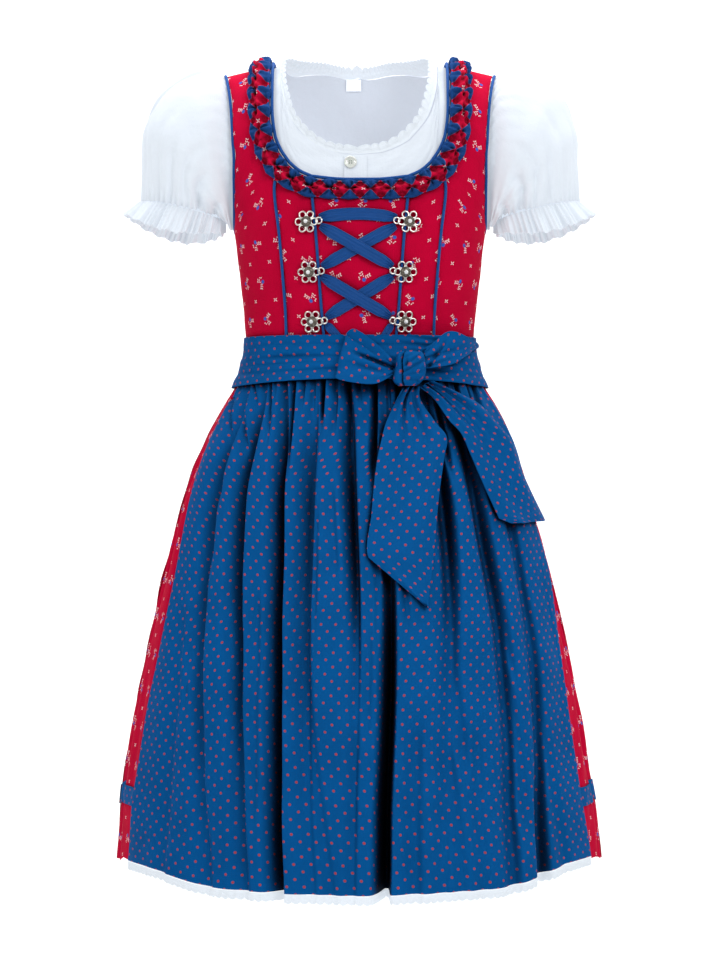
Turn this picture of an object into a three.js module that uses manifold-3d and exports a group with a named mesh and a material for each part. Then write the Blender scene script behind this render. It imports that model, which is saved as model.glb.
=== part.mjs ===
// A child's dirndl, worn open and hollow: a printed cotton dress with a laced bodice and a gathered
// skirt, a dotted apron tied in a bow, and a white puff-sleeved blouse under them.
// Millimetres, +Z up. The front faces -Y and the wearer's left is +X.
// The origin is the middle of the line that joins the two shoulder seams at the neck.

import * as THREE from "three";
import { mergeVertices } from "three/addons/utils/BufferGeometryUtils.js";
import Module from "manifold-3d";

const wasm = await Module();
wasm.setup();

// ---------- driving sizes ----------

const seamGap = 0.3; // between neighbouring pieces
const bodiceWall = 1.6; // printed cotton with its interlining
const cottonWall = 1.2; // skirt and apron cotton
const ribbonWall = 1;
const blouseWall = 1.1; // batiste
const blouseLift = -3.2; // outer face of the blouse, under the inner face of the bodice
const pipingWide = 2.6;
const pipingHigh = 1.2;
const pipingRadius = 1.3; // cord at the armholes
const bindingRadius = 1.5; // cord at the neckline
const cordGap = 0.6; // between a cord and the edge it follows
const trimLift = bodiceWall + seamGap; // underside of what lies on the bodice

const waistZ = -262; // seam of bodice and skirt
const underarmZ = -153;
const roundingZ = -75; // above this height the form rounds over to the shoulder
const hemZ = -718;
const apronTopZ = -281;
const apronLaceDrop = 8;
const blouseHemZ = -200;
const shoulderX = 120.5; // outer end of the dress's shoulder seam
const shoulderZ = -9; // and its height there
const neckX = 80; // inner end of the shoulder seam
const lacingWide = 10.5;

// The form that the bodice fits: half width, depth to the front and to the back, squareness.
const torso = [
  { z: -75, half: 124, front: 77, back: 78, square: 3.2 },
  { z: -100, half: 120.5, front: 79.5, back: 79.5, square: 3.1 },
  { z: -120, half: 117, front: 82, back: 80, square: 2.9 },
  { z: -150, half: 112.4, front: 85.5, back: 79.5, square: 2.6 },
  { z: -170, half: 109.9, front: 86, back: 78, square: 2.45 },
  { z: -198, half: 106.8, front: 83.5, back: 75, square: 2.3 },
  { z: -225, half: 103.8, front: 80, back: 72, square: 2.2 },
  { z: -248, half: 102.2, front: 79, back: 71, square: 2.15 },
  { z: -262, half: 102, front: 80, back: 72, square: 2.15 },
];

// Crests of the skirt: the form that its folds sink into.
const skirtForm = [
  { z: -262, half: 103.6, front: 81.6, back: 73.6, square: 2.15 },
  { z: -284, half: 111.3, front: 89.6, back: 81.2, square: 2.1 },
  { z: -292, half: 114, front: 92.8, back: 84.6, square: 2.1 },
  { z: -306, half: 123, front: 98, back: 91, square: 2.05 },
  { z: -339, half: 140, front: 114, back: 106, square: 2 },
  { z: -384, half: 156, front: 133, back: 124, square: 1.95 },
  { z: -448, half: 173, front: 157, back: 147, square: 1.9 },
  { z: -520, half: 189.5, front: 180, back: 168, square: 1.88 },
  { z: -593, half: 203.5, front: 199, back: 185, square: 1.86 },
  { z: -666, half: 215, front: 214, back: 198, square: 1.85 },
  { z: -726, half: 220.5, front: 223, back: 206, square: 1.85 },
];

// Outer face of the apron's tie, wound round the waist.
const tieForm = [
  { z: -246, half: 107, front: 85, back: 76.5, square: 2.15 },
  { z: -263, half: 108.6, front: 87.5, back: 79.5, square: 2.15 },
  { z: -270, half: 111.4, front: 90.5, back: 82, square: 2.12 },
  { z: -278, half: 112.6, front: 91.8, back: 83.5, square: 2.1 },
  { z: -284, half: 116.8, front: 95.4, back: 87.2, square: 2.1 },
  { z: -293, half: 120.4, front: 99.4, back: 91.3, square: 2.1 },
];

// Folds of the apron from its right edge to its left: place and depth at four heights, and half width.
const foldHeights = [-292, -400, -540, -718];
const apronFolds = [
  { x: [-99, -127, -136, -128], depth: [4, 11, 9, 4], wide: 8 },
  { x: [-84, -101, -102, -96], depth: [4, 18, 12, 5], wide: 7 },
  { x: [-66, -66, -66, -65], depth: [4, 20, 28, 32], wide: 5.5 },
  { x: [-40, -43, -45, -40], depth: [4, 12, 8, 4], wide: 8 },
  { x: [-11, -4, 0, -6], depth: [5, 14, 5, 3], wide: 6 },
  { x: [22, 27, 29, 23], depth: [3, 7, 20, 34], wide: 5.5 },
  { x: [52, 78, 80, 70], depth: [4, 16, 6, 4], wide: 8 },
  { x: [80, 108, 128, 132], depth: [4, 12, 10, 7], wide: 8 },
  { x: [99, 132, 155, 160], depth: [4, 6, 7, 12], wide: 7 },
];
const apronEdgeX = [105, 149, 177, 201]; // at the same four heights

// How far the front of the skirt lies inside its crests under the apron.
const underApron = [
  { z: -262, depth: 0, edge: 6 },
  { z: -277, depth: 13, edge: 6 },
  { z: -345, depth: 20, edge: 9 },
  { z: -430, depth: 27, edge: 16 },
  { z: -540, depth: 33, edge: 22 },
  { z: -718, depth: 39, edge: 28 },
];

// Folds of the skirt behind the side seams: degrees from the front at waist and hem, depth, half width.
const backFolds = [
  { waist: 101, hem: 104, depth: 9, wide: 10 },
  { waist: 118, hem: 121, depth: 16, wide: 9 },
  { waist: 136, hem: 139, depth: 21, wide: 8 },
  { waist: 153, hem: 152, depth: 15, wide: 10 },
  { waist: 171, hem: 170, depth: 22, wide: 8 },
  { waist: 189, hem: 187, depth: 17, wide: 9 },
  { waist: 206, hem: 206, depth: 20, wide: 8 },
  { waist: 224, hem: 222, depth: 14, wide: 10 },
  { waist: 241, hem: 239, depth: 18, wide: 9 },
  { waist: 258, hem: 256, depth: 10, wide: 10 },
];
const gathersPerFold = 2;
const gatherDepth = [
  { z: -262, depth: 0 },
  { z: -284, depth: 3.6 },
  { z: -306, depth: 3 },
  { z: -360, depth: 0 },
  { z: -718, depth: 0 },
];

// Rings of a sleeve from the armhole to the cuff: top and underarm points, and half depth.
const sleeveRings = [
  { topX: 130, topZ: -5.6, lowX: 116.2, lowZ: -146.8, deep: 51, pucker: 1.2 },
  { topX: 154, topZ: -7.5, lowX: 117.5, lowZ: -146.6, deep: 60, pucker: 0.8 },
  { topX: 181, topZ: -26, lowX: 119.5, lowZ: -144.8, deep: 62, pucker: 0.4 },
  { topX: 196, topZ: -56, lowX: 121, lowZ: -143, deep: 60, pucker: 0.6 },
  { topX: 198, topZ: -90, lowX: 122, lowZ: -141.2, deep: 54, pucker: 1.2 },
  { topX: 198.5, topZ: -122, lowX: 122.5, lowZ: -139.5, deep: 44, pucker: 1 },
];
const frillRings = [
  { topX: 198.8, topZ: -122.6, lowX: 122.5, lowZ: -140.1, deep: 44.2, sag: 0, wave: 0.8 },
  { topX: 212.5, topZ: -135, lowX: 124.5, lowZ: -151, deep: 57, sag: 11, wave: 3.4 },
];
const frillWaves = 18;
const waveColumns = 3;

const rucheUnits = 22;

// ---------- colours ----------

const colours = {
  printRed: { color: 0xc4102f, roughness: 0.85 },
  dottedBlue: { color: 0x17539a, roughness: 0.6 },
  plainBlue: { color: 0x1f4f96, roughness: 0.7 },
  white: { color: 0xf1f4fa, roughness: 0.9 },
  silver: { color: 0xa9a294, roughness: 0.35, metalness: 1 },
  pearl: { color: 0xdfe6d8, roughness: 0.3 },
};

// ---------- small helpers ----------

const { lerp, clamp, degToRad, smoothstep } = THREE.MathUtils;
const vec = (x, y, z) => new THREE.Vector3(x, y, z);
const signedPower = (v, p) => Math.sign(v) * Math.abs(v) ** p;
const shares = (n) => Array.from({ length: n + 1 }, (_, i) => i / n);
const turns = (n) => shares(n).slice(0, n);
const chain = (...parts) => parts.reduce((all, part) => [...all, ...part.slice(1)]);

// A cubic through v[1] and v[2], at share t of the way between the places p[1] and p[2].
function cubic(p, v, t) {
  const span = p[2] - p[1];
  const slope1 = ((v[2] - v[0]) / (p[2] - p[0] || 1)) * span;
  const slope2 = ((v[3] - v[1]) / (p[3] - p[1] || 1)) * span;
  const t2 = t * t;
  const t3 = t2 * t;
  return (2 * t3 - 3 * t2 + 1) * v[1] + (t3 - 2 * t2 + t) * slope1 + (3 * t2 - 2 * t3) * v[2] + (t3 - t2) * slope2;
}

// The row of a table at a height, smooth between its rows. The rows run downwards.
function along(table, at) {
  const last = table.length - 1;
  const z = clamp(at, table[last].z, table[0].z);
  let i = 0;
  while (i < last - 1 && z < table[i + 1].z) i++;
  const four = [Math.max(i - 1, 0), i, i + 1, Math.min(i + 2, last)].map((k) => table[k]);
  const places = four.map((row) => row.z);
  const t = (z - places[1]) / (places[2] - places[1]);
  const column = (key) => cubic(places, four.map((row) => row[key]), t);
  return Object.fromEntries(Object.keys(table[0]).map((key) => [key, column(key)]));
}

// The same for a list of values at foldHeights.
function atHeight(values, z) {
  return along(foldHeights.map((height, i) => ({ z: height, value: values[i] })), z).value;
}

// A point of a rounded section, moved out by a distance; angle 0 is the front and 90 degrees is +X.
function sectionPoint(section, angle, out = 0) {
  const x = section.half * signedPower(Math.sin(angle), 2 / section.square);
  const depth = Math.cos(angle) > 0 ? section.front : section.back;
  const y = -depth * signedPower(Math.cos(angle), 2 / section.square);
  const normal = vec(
    signedPower(x / section.half, section.square - 1) / section.half,
    signedPower(y / depth, section.square - 1) / depth,
    0,
  );
  return vec(x, y, section.z).addScaledVector(normal.normalize(), out);
}

// The angle at which a section has this x, on its front.
function frontAngle(section, x) {
  return Math.sign(x) * Math.asin(Math.min(1, Math.abs(x) / section.half) ** (section.square / 2));
}

// A copy of a grid whose points are moved along the normals, which face away from the body.
function moved(grid, distance, wrap = false) {
  const rows = grid.length;
  const columns = grid[0].length;
  const normals = grid.map((row, r) =>
    row.map((p, c) => {
      const right = wrap ? row[(c + 1) % columns] : row[Math.min(c + 1, columns - 1)];
      const left = wrap ? row[(c + columns - 1) % columns] : row[Math.max(c - 1, 0)];
      const down = grid[Math.min(r + 1, rows - 1)][c].clone().sub(grid[Math.max(r - 1, 0)][c]);
      return right.clone().sub(left).cross(down).normalize();
    }),
  );
  const facing = grid.flat().reduce((sum, p, i) => sum + normals.flat()[i].dot(vec(p.x, p.y, 0)), 0);
  return grid.map((row, r) =>
    row.map((p, c) => p.clone().addScaledVector(normals[r][c], Math.sign(facing) * distance)),
  );
}

// A closed geometry from its triangles, turned so that its faces look outwards.
function solidFrom(points, faces) {
  let volume = 0;
  for (let i = 0; i < faces.length; i += 3) {
    const [a, b, c] = [points[faces[i]], points[faces[i + 1]], points[faces[i + 2]]];
    volume += a.dot(b.clone().cross(c));
  }
  if (volume < 0) faces.reverse();
  return new THREE.BufferGeometry().setFromPoints(points).setIndex(faces);
}

// A cloth wall between two grids of points; wrap joins the last column to the first.
function wall(outer, inner, wrap = false) {
  const rows = outer.length;
  const columns = outer[0].length;
  const at = (side, r, c) => side * rows * columns + r * columns + (c % columns);
  const faces = [];
  const quad = (a, b, c, d) => faces.push(a, b, c, a, c, d);
  for (let c = 0; c < (wrap ? columns : columns - 1); c++) {
    for (let r = 0; r < rows - 1; r++) {
      quad(at(0, r, c), at(0, r, c + 1), at(0, r + 1, c + 1), at(0, r + 1, c));
      quad(at(1, r, c), at(1, r + 1, c), at(1, r + 1, c + 1), at(1, r, c + 1));
    }
    quad(at(0, 0, c), at(1, 0, c), at(1, 0, c + 1), at(0, 0, c + 1));
    quad(at(0, rows - 1, c), at(0, rows - 1, c + 1), at(1, rows - 1, c + 1), at(1, rows - 1, c));
  }
  for (let r = 0; r < rows - 1 && !wrap; r++) {
    quad(at(0, r, 0), at(0, r + 1, 0), at(1, r + 1, 0), at(1, r, 0));
    quad(at(0, r, columns - 1), at(1, r, columns - 1), at(1, r + 1, columns - 1), at(0, r + 1, columns - 1));
  }
  return solidFrom([...outer.flat(), ...inner.flat()], faces);
}

// A solid through rings of points, closed on itself or capped at its ends.
function tube(rings, closed = false) {
  const n = rings[0].length;
  const faces = [];
  for (let r = 0; r < (closed ? rings.length : rings.length - 1); r++) {
    const next = (r + 1) % rings.length;
    for (let c = 0; c < n; c++) {
      const d = (c + 1) % n;
      faces.push(r * n + c, r * n + d, next * n + d, r * n + c, next * n + d, next * n + c);
    }
  }
  const end = (rings.length - 1) * n;
  for (let c = 1; c < n - 1 && !closed; c++) faces.push(0, c + 1, c, end, end + c, end + c + 1);
  return solidFrom(rings.flat(), faces);
}

// Several touching solids fused into one.
function fused(geometries) {
  const solids = geometries.map((geometry) => {
    const bare = new THREE.BufferGeometry().setAttribute("position", geometry.getAttribute("position"));
    if (geometry.index) bare.setIndex(geometry.index);
    const merged = mergeVertices(bare, 1e-4);
    return new wasm.Manifold(
      new wasm.Mesh({
        numProp: 3,
        vertProperties: merged.getAttribute("position").array,
        triVerts: new Uint32Array(merged.index.array),
      }),
    );
  });
  const mesh = wasm.Manifold.union(solids).getMesh();
  return new THREE.BufferGeometry()
    .setAttribute("position", new THREE.BufferAttribute(mesh.vertProperties, 3))
    .setIndex(new THREE.BufferAttribute(mesh.triVerts, 1));
}

const garment = new THREE.Group();
function add(name, geometry, colour) {
  const mesh = new THREE.Mesh(geometry, new THREE.MeshStandardMaterial(colours[colour]));
  mesh.name = name;
  garment.add(mesh);
}

// ---------- the torso form ----------

// Height of the shoulder line, which climbs from the arm towards the neck.
function ridge(x) {
  const fromEnd = Math.max(0, 1 - Math.abs(x) / shoulderX);
  return shoulderZ + 58 * fromEnd ** 1.6;
}

// A point of the form. rise is under 0 below the rounding, and goes from 0 to 1 up to the shoulder line.
function form(angle, rise) {
  const z = Math.min(rise, 0) * 100 + roundingZ;
  const p = sectionPoint({ ...along(torso, z), z }, angle);
  if (rise <= 0) return p;
  const turn = (rise * Math.PI) / 2;
  return vec(p.x, p.y * Math.cos(turn), lerp(roundingZ, ridge(p.x), Math.sin(turn)));
}

// A point of the form moved out along its normal.
function onForm([angle, rise], lift = 0) {
  const step = 0.004;
  const across = form(angle + step, rise).sub(form(angle - step, rise));
  const up = form(angle, rise + step).sub(form(angle, rise - step));
  return form(angle, rise).addScaledVector(across.cross(up).normalize(), lift);
}

// The place on the form that has this x and z, on its front or its back.
function place(x, z, back = false) {
  const angle = frontAngle(along(torso, Math.min(z, roundingZ)), x);
  const share = Math.min((z - roundingZ) / (ridge(x) - roundingZ), 1);
  const rise = z <= roundingZ ? (z - roundingZ) / 100 : Math.asin(share) / (Math.PI / 2);
  return [back ? Math.PI - angle : angle, rise];
}
// The same, reached from the front over the shoulder line.
function overShoulder(x, z) {
  const [angle, rise] = place(x, z);
  return [angle, 2 - rise];
}
const front = (x, z) => place(x, z);
const behind = (x, z) => place(x, z, true);
const crest = (x, back = false) => place(x, ridge(x), back);
const atSide = (z) => [Math.PI / 2, (z - roundingZ) / 100];
const mirrored = (places) => places.map(([angle, rise]) => [-angle, rise]);
const bothSides = (half) => [...mirrored(half).reverse(), ...half.slice(1)];

// Places evenly spaced along a smooth curve over the form.
function sampled(places, spans) {
  const lengths = [0];
  for (let i = 1; i < places.length; i++)
    lengths.push(lengths[i - 1] + onForm(places[i]).distanceTo(onForm(places[i - 1])));
  const last = places.length - 1;
  return shares(spans).map((t) => {
    const at = t * lengths[last];
    let i = 0;
    while (i < last - 1 && at > lengths[i + 1]) i++;
    const four = [Math.max(i - 1, 0), i, i + 1, Math.min(i + 2, last)];
    const where = four.map((k) => lengths[k]);
    const share = (at - where[1]) / (where[2] - where[1]);
    return [0, 1].map((axis) => cubic(where, four.map((k) => places[k][axis]), share));
  });
}

// Moves the border of a grid inwards by the distances given.
function pulledIn(grid, { foot = 0, top = 0, left = 0, right = 0 }) {
  const rows = grid.length - 1;
  const columns = grid[0].length - 1;
  const towards = (p, q, distance) => p.add(q.clone().sub(p).setLength(distance));
  for (let r = 0; r <= rows; r++) {
    if (left) towards(grid[r][0], grid[r][1], left);
    if (right) towards(grid[r][columns], grid[r][columns - 1], right);
  }
  for (let c = 0; c <= columns; c++) {
    if (foot) towards(grid[0][c], grid[1][c], foot);
    if (top) towards(grid[rows][c], grid[rows - 1][c], top);
  }
  return grid;
}

// A piece of the form between four lists of places that meet at its corners.
// reach says how far the shape of the left and right edges carries into the piece: less if it is higher.
function patch({ foot, top, left, right, low, thick, inset, reach = 1 }) {
  const rows = left.length - 1;
  const columns = foot.length - 1;
  const places = left.map((_, r) =>
    foot.map((_, c) =>
      [0, 1].map((k) => {
        const [u, v] = [c / columns, r / rows];
        const leftPull = (left[r][k] - lerp(foot[0][k], top[0][k], v)) * (1 - u) ** reach;
        const rightPull = (right[r][k] - lerp(foot[columns][k], top[columns][k], v)) * u ** reach;
        return lerp(foot[c][k], top[c][k], v) + leftPull + rightPull;
      }),
    ),
  );
  const layer = (lift) => pulledIn(places.map((row) => row.map((p) => onForm(p, lift))), inset);
  return wall(layer(low + thick), layer(low));
}

// At each place: the point, the way out, and the way across the line of places.
function frames(places, lift, closed = false) {
  const points = places.map((p) => onForm(p, lift));
  const last = points.length - 1;
  return points.map((here, i) => {
    const next = points[closed ? (i + 1) % points.length : Math.min(i + 1, last)];
    const before = points[closed ? (i + last) % points.length : Math.max(i - 1, 0)];
    const out = onForm(places[i], lift + 1).sub(here).normalize();
    return { here, out, across: out.clone().cross(next.clone().sub(before)).normalize() };
  });
}

// A solid along a line of places, from the outline of its section: [across, out] pairs.
function trim(places, lift, outline, closed = false) {
  return tube(
    frames(places, lift, closed).map(({ here, out, across }) =>
      outline.map(([a, b]) => here.clone().addScaledVector(across, a).addScaledVector(out, b)),
    ),
    closed,
  );
}
const ribOutline = [
  [-pipingWide / 2, 0],
  [pipingWide / 2, 0],
  [pipingWide / 4, pipingHigh],
  [-pipingWide / 4, pipingHigh],
];
const cordOutline = (radius, aside) =>
  turns(5).map((s) => [aside + radius * Math.cos(2 * Math.PI * s), radius * Math.sin(2 * Math.PI * s)]);

// ---------- seam lines of the dress, on its left half ----------

const neckline = [
  front(0, -113), front(21, -112.6), front(43, -110), front(54.5, -104.6), front(63.6, -96.8),
  front(72.3, -83.5), front(78.8, -58.5), front(79.8, -30), crest(neckX),
];
const backNeckline = [
  crest(neckX, true), behind(76, -12), behind(60, -23), behind(32, -29), behind(0, -30),
];
const armholeFront = [
  atSide(underarmZ), front(111.6, -138), front(110.8, -107), front(110.6, -83), front(112.3, -57),
  front(115, -30), crest(shoulderX),
];
const armholeBack = [
  atSide(underarmZ), behind(112, -138), behind(112.6, -107), behind(113, -83), behind(114, -57),
  behind(116, -30), crest(shoulderX, true),
];
const innerSeam = [front(31, waistZ), front(34, -220), front(38.5, -160), front(42, -125), front(43, -110)];
const outerSeam = [
  front(65, waistZ), front(67, -200), front(71.5, -150), front(75, -118), front(71.5, -104), front(63.6, -96.8),
];
const shoulder = [crest(neckX), crest(100), crest(shoulderX)];
const backShoulder = [crest(neckX, true), crest(100, true), crest(shoulderX, true)];

const innerEdge = sampled(innerSeam, 6);
const outerEdge = sampled(outerSeam, 6);
const sideEdge = sampled([atSide(waistZ), atSide(-200), atSide(underarmZ)], 4);
const armholeFrontEdge = sampled(armholeFront, 7);
const armholeBackEdge = sampled(armholeBack, 7);
const centreNeck = sampled(bothSides(neckline.slice(0, 3)), 6);
const frontNeck = sampled(neckline.slice(2, 5), 4);
const strapNeck = sampled(neckline.slice(4), 5);
const backNeck = sampled(backNeckline, 5);
const pipingSpans = 5; // rows of a front seam that the piping covers, up to the ruche

// ---------- bodice ----------

const seams = { left: seamGap / 2, right: seamGap / 2 };
const bodice = { low: 0, thick: bodiceWall, inset: seams };
const shoulderSeams = { ...seams, top: seamGap / 2 };

add(
  "bodice_centre_front",
  patch({
    foot: sampled(bothSides([front(0, waistZ), front(16, waistZ), front(31, waistZ)]), 6),
    top: centreNeck,
    left: mirrored(innerEdge),
    right: innerEdge,
    ...bodice,
  }),
  "printRed",
);

const sides = [
  { side: 1, wearer: "left", turned: (places) => places },
  { side: -1, wearer: "right", turned: mirrored },
];
for (const { side, wearer, turned } of sides) {
  add(
    `bodice_side_front_${wearer}`,
    patch({
      foot: turned(sampled([front(31, waistZ), front(48, waistZ), front(65, waistZ)], 4)),
      top: turned(frontNeck),
      left: turned(innerEdge),
      right: turned(outerEdge),
      ...bodice,
    }),
    "printRed",
  );
  add(
    `bodice_side_${wearer}`,
    patch({
      foot: turned(sampled([front(65, waistZ), front(90, waistZ), atSide(waistZ)], 4)),
      top: turned(sampled(shoulder, 4)),
      left: turned(chain(outerEdge, strapNeck)),
      right: turned(chain(sideEdge, armholeFrontEdge)),
      ...bodice,
      inset: shoulderSeams,
    }),
    "printRed",
  );
  add(
    `bodice_back_${wearer}`,
    patch({
      foot: turned(sampled([behind(0, waistZ), behind(60, waistZ), atSide(waistZ)], 7)),
      top: turned(chain([...backNeck].reverse(), sampled(backShoulder, 2))),
      left: turned(sampled([behind(0, waistZ), behind(0, -150), behind(0, -30)], 11)),
      right: turned(chain(sideEdge, armholeBackEdge)),
      ...bodice,
      inset: shoulderSeams,
      reach: 1.5,
    }),
    "printRed",
  );
  const piped = pipingSpans + 1;
  add(`piping_inner_${wearer}`, trim(turned(innerEdge.slice(0, piped)), trimLift, ribOutline), "plainBlue");
  add(`piping_outer_${wearer}`, trim(turned(outerEdge.slice(0, piped)), trimLift, ribOutline), "plainBlue");
  const armhole = chain(armholeFrontEdge, [...armholeBackEdge].reverse()).slice(1);
  add(
    `armhole_piping_${wearer}`,
    trim(turned(armhole), bodiceWall / 2, cordOutline(pipingRadius, -side * (pipingRadius + cordGap)), true),
    "plainBlue",
  );
}

const neckHalf = chain(centreNeck.slice(3), frontNeck, strapNeck, backNeck);
const neckRing = [...neckHalf, ...mirrored(neckHalf.slice(1, -1)).reverse()];
add(
  "neck_binding",
  trim(neckRing, bodiceWall / 2, cordOutline(bindingRadius, bindingRadius + cordGap), true),
  "plainBlue",
);

// ---------- ruche ----------

const rucheInner = [
  front(0, -113.4), front(21, -113), front(43.2, -110.4), front(54.8, -105), front(64, -97.1),
  front(72.8, -83.6), front(79.2, -58.5), front(80.2, -30), crest(80.4), overShoulder(80.6, -9),
];
const rucheOuter = [
  front(0, -129.5), front(22, -129.5), front(47, -127), front(64, -119.5), front(77.5, -108.5),
  front(89, -90), front(96, -60), front(98, -30), crest(98.5), overShoulder(98.5, -13),
];

// Pinched box pleats: each unit stands up in a ridge and is drawn in at its two edges.
function ruche() {
  const spans = rucheUnits * 3;
  const inner = sampled(bothSides(rucheInner), spans);
  const outer = sampled(bothSides(rucheOuter), spans);
  const low = trimLift + 0.4;
  return tube(
    inner.map((_, i) => {
      const open = 0.5 + 0.5 * Math.cos((2 * Math.PI * i) / 3);
      const point = (v, lift) => onForm([0, 1].map((k) => lerp(inner[i][k], outer[i][k], v)), lift);
      const drawn = 0.07 * (1 - open);
      return [
        point(drawn, low + 1),
        point(0.33, low + 1.4 + 2 * open),
        point(0.67, low + 1.4 + 2 * open),
        point(1 - drawn, low + 1),
        point(1 - drawn, low),
        point(0.5, low),
        point(drawn, low),
      ];
    }),
  );
}
add("ruche", ruche(), "printRed");

// ---------- blouse ----------

const blouseShoulderX = 121.6;
const blouseNeck = [
  front(0, -87.8), front(24, -85), front(47, -72.5), front(62, -52.5), front(69, -31), front(71.6, -13), crest(72.5),
];
const blouseBackNeck = [crest(72.5, true), behind(66, 0), behind(45, 2), behind(30, 2), behind(0, 0.5)];
const laceTop = [
  front(0, -79.8), front(22.5, -76.8), front(41.5, -66), front(55, -49), front(61.5, -29), front(65, -12), crest(67),
];
const laceTopBack = [crest(67, true), behind(61, 8.8), behind(46, 11), behind(31, 10.5), behind(0, 8.5)];
const blouseArmhole = [
  atSide(-149.4), front(115.4, -130), front(115.2, -107), front(115, -83), front(116.3, -57),
  front(118.6, -30), crest(blouseShoulderX),
];
const blouseArmholeBack = [
  atSide(-149.4), behind(115.4, -130), behind(116.2, -107), behind(117, -83), behind(118, -57),
  behind(119, -30), crest(blouseShoulderX, true),
];
const blouseSide = sampled([atSide(blouseHemZ), atSide(-175), atSide(-149.4)], 2);
const blouseFrontEdge = sampled(blouseArmhole, 6);
const blouseBackEdge = sampled(blouseArmholeBack, 6);
const blouseNeckEdge = sampled(blouseNeck, 5);
const blouseBackNeckEdge = sampled(blouseBackNeck, 5);
const blouse = { low: blouseLift - blouseWall, thick: blouseWall, inset: shoulderSeams, reach: 3 };

function blouseHalf(neck, shoulders, edge, hem) {
  const right = chain(blouseSide, edge);
  return patch({
    foot: sampled(bothSides(hem), 14),
    top: bothSides(chain(neck, sampled(shoulders, 2))),
    left: mirrored(right),
    right,
    ...blouse,
  });
}
const blouseHem = [front(0, blouseHemZ), front(50, blouseHemZ), atSide(blouseHemZ)];
add(
  "blouse_front",
  blouseHalf(blouseNeckEdge, [crest(72.5), crest(blouseShoulderX)], blouseFrontEdge, blouseHem),
  "white",
);
const backHalf = (places) => places.map(([angle, rise]) => [Math.PI - angle, rise]);
const blouseBackHem = [behind(0, blouseHemZ), behind(50, blouseHemZ), atSide(blouseHemZ)];

// The back runs through the centre back, where the angle is half a turn.
function blouseBack() {
  const acrossBack = (half) => backHalf(bothSides(backHalf(half)));
  const right = chain(blouseSide, blouseBackEdge);
  return patch({
    foot: sampled(acrossBack(blouseBackHem), 14),
    top: acrossBack(
      chain([...blouseBackNeckEdge].reverse(), sampled([crest(72.5, true), crest(blouseShoulderX, true)], 2)),
    ),
    left: backHalf(mirrored(backHalf(right))),
    right,
    ...blouse,
  });
}
add("blouse_back", blouseBack(), "white");

// The lace stands up from the neckline; its foot follows the blouse's own edge.
function neckLace() {
  const ring = (half) => [...half, ...mirrored(half.slice(1, -1)).reverse()];
  const foot = ring(chain(blouseNeckEdge, blouseBackNeckEdge));
  const top = ring(chain(sampled(laceTop, 5), sampled(laceTopBack, 5)));
  const finer = (points) =>
    points.flatMap((p, i) => turns(2).map((t) => p.clone().lerp(points[(i + 1) % points.length], t)));
  const row = (places, lift) => finer(places.map((p) => onForm(p, lift)));
  const layer = (lift) => {
    const low = row(foot, lift);
    const high = row(top, lift);
    low.forEach((p, i) => p.add(high[i].clone().sub(p).setLength(seamGap)));
    return [low, high];
  };
  return wall(layer(blouseLift), layer(blouseLift - blouseWall), true);
}
add("neck_lace", neckLace(), "white");

// A rectangle on the form between two x and two z.
function strip(spot, x, z, columns, rows, low, thick) {
  const spots = shares(columns).map((u) => shares(rows).map((v) => spot(lerp(x[0], x[1], u), lerp(z[0], z[1], v))));
  const layer = (lift) => spots.map((column) => column.map((p) => onForm(p, lift)));
  return wall(layer(low + thick), layer(low));
}
add("placket", strip(front, [-14, 6], [-160, -88.6], 2, 6, blouseLift + seamGap, ribbonWall), "white");
add("size_label", strip(behind, [-14, 1], [-10.5, 0], 1, 1, blouseLift - blouseWall - 2.6, 0.8), "white");

const button = { x: -8.4, z: -95.3, radius: 5.7 };

// A solid of revolution set on the form with its axis along the normal.
function standing(geometry, [angle, rise], lift) {
  const here = onForm([angle, rise], lift);
  const out = onForm([angle, rise], lift + 1).sub(here).normalize();
  const right = vec(0, 0, 1).cross(out).negate().normalize();
  const basis = new THREE.Matrix4().makeBasis(right, out.clone().cross(right), out).setPosition(here);
  return geometry.applyMatrix4(basis);
}
const buttonOutline = [[0, 0], [1, 0], [1, 0.25], [0.7, 0.42], [0.35, 0.3], [0, 0.3]];
const buttonShape = new THREE.LatheGeometry(
  buttonOutline.map(([r, h]) => new THREE.Vector2(r * button.radius, h * button.radius)),
  12,
).rotateX(Math.PI / 2);
add("button", standing(buttonShape, front(button.x, button.z), blouseLift + seamGap + ribbonWall + seamGap), "pearl");

// ---------- sleeves ----------

const sleevePuckers = 3; // columns for each span of the armhole edge

// A ring round the sleeve: its first point is the top, and it runs down the front to the underarm.
function sleeveRing(row, columns, side) {
  const { topX, topZ, lowX, lowZ, deep, pucker = 0, sag = 0, wave = 0 } = row;
  const centre = vec((side * (topX + lowX)) / 2, 0, (topZ + lowZ) / 2);
  const half = vec((side * (topX - lowX)) / 2, 0, (topZ - lowZ) / 2);
  return turns(columns).map((t, i) => {
    const angle = t * 2 * Math.PI;
    const ray = half.clone().multiplyScalar(Math.cos(angle)).add(vec(0, -deep * Math.sin(angle), 0));
    const push = (i % 2 ? -pucker : pucker) + wave * Math.cos(frillWaves * angle);
    const p = centre.clone().add(ray).addScaledVector(ray.clone().normalize(), push);
    p.z -= sag * Math.sin(angle) ** 2;
    return p;
  });
}

// The same rings moved towards their own centres by the thickness of the cloth.
function shrunk(ring, by) {
  const centre = ring.reduce((sum, p) => sum.add(p), vec(0, 0, 0)).divideScalar(ring.length);
  return ring.map((p) => p.clone().add(centre.clone().sub(p).setLength(by)));
}

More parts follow.
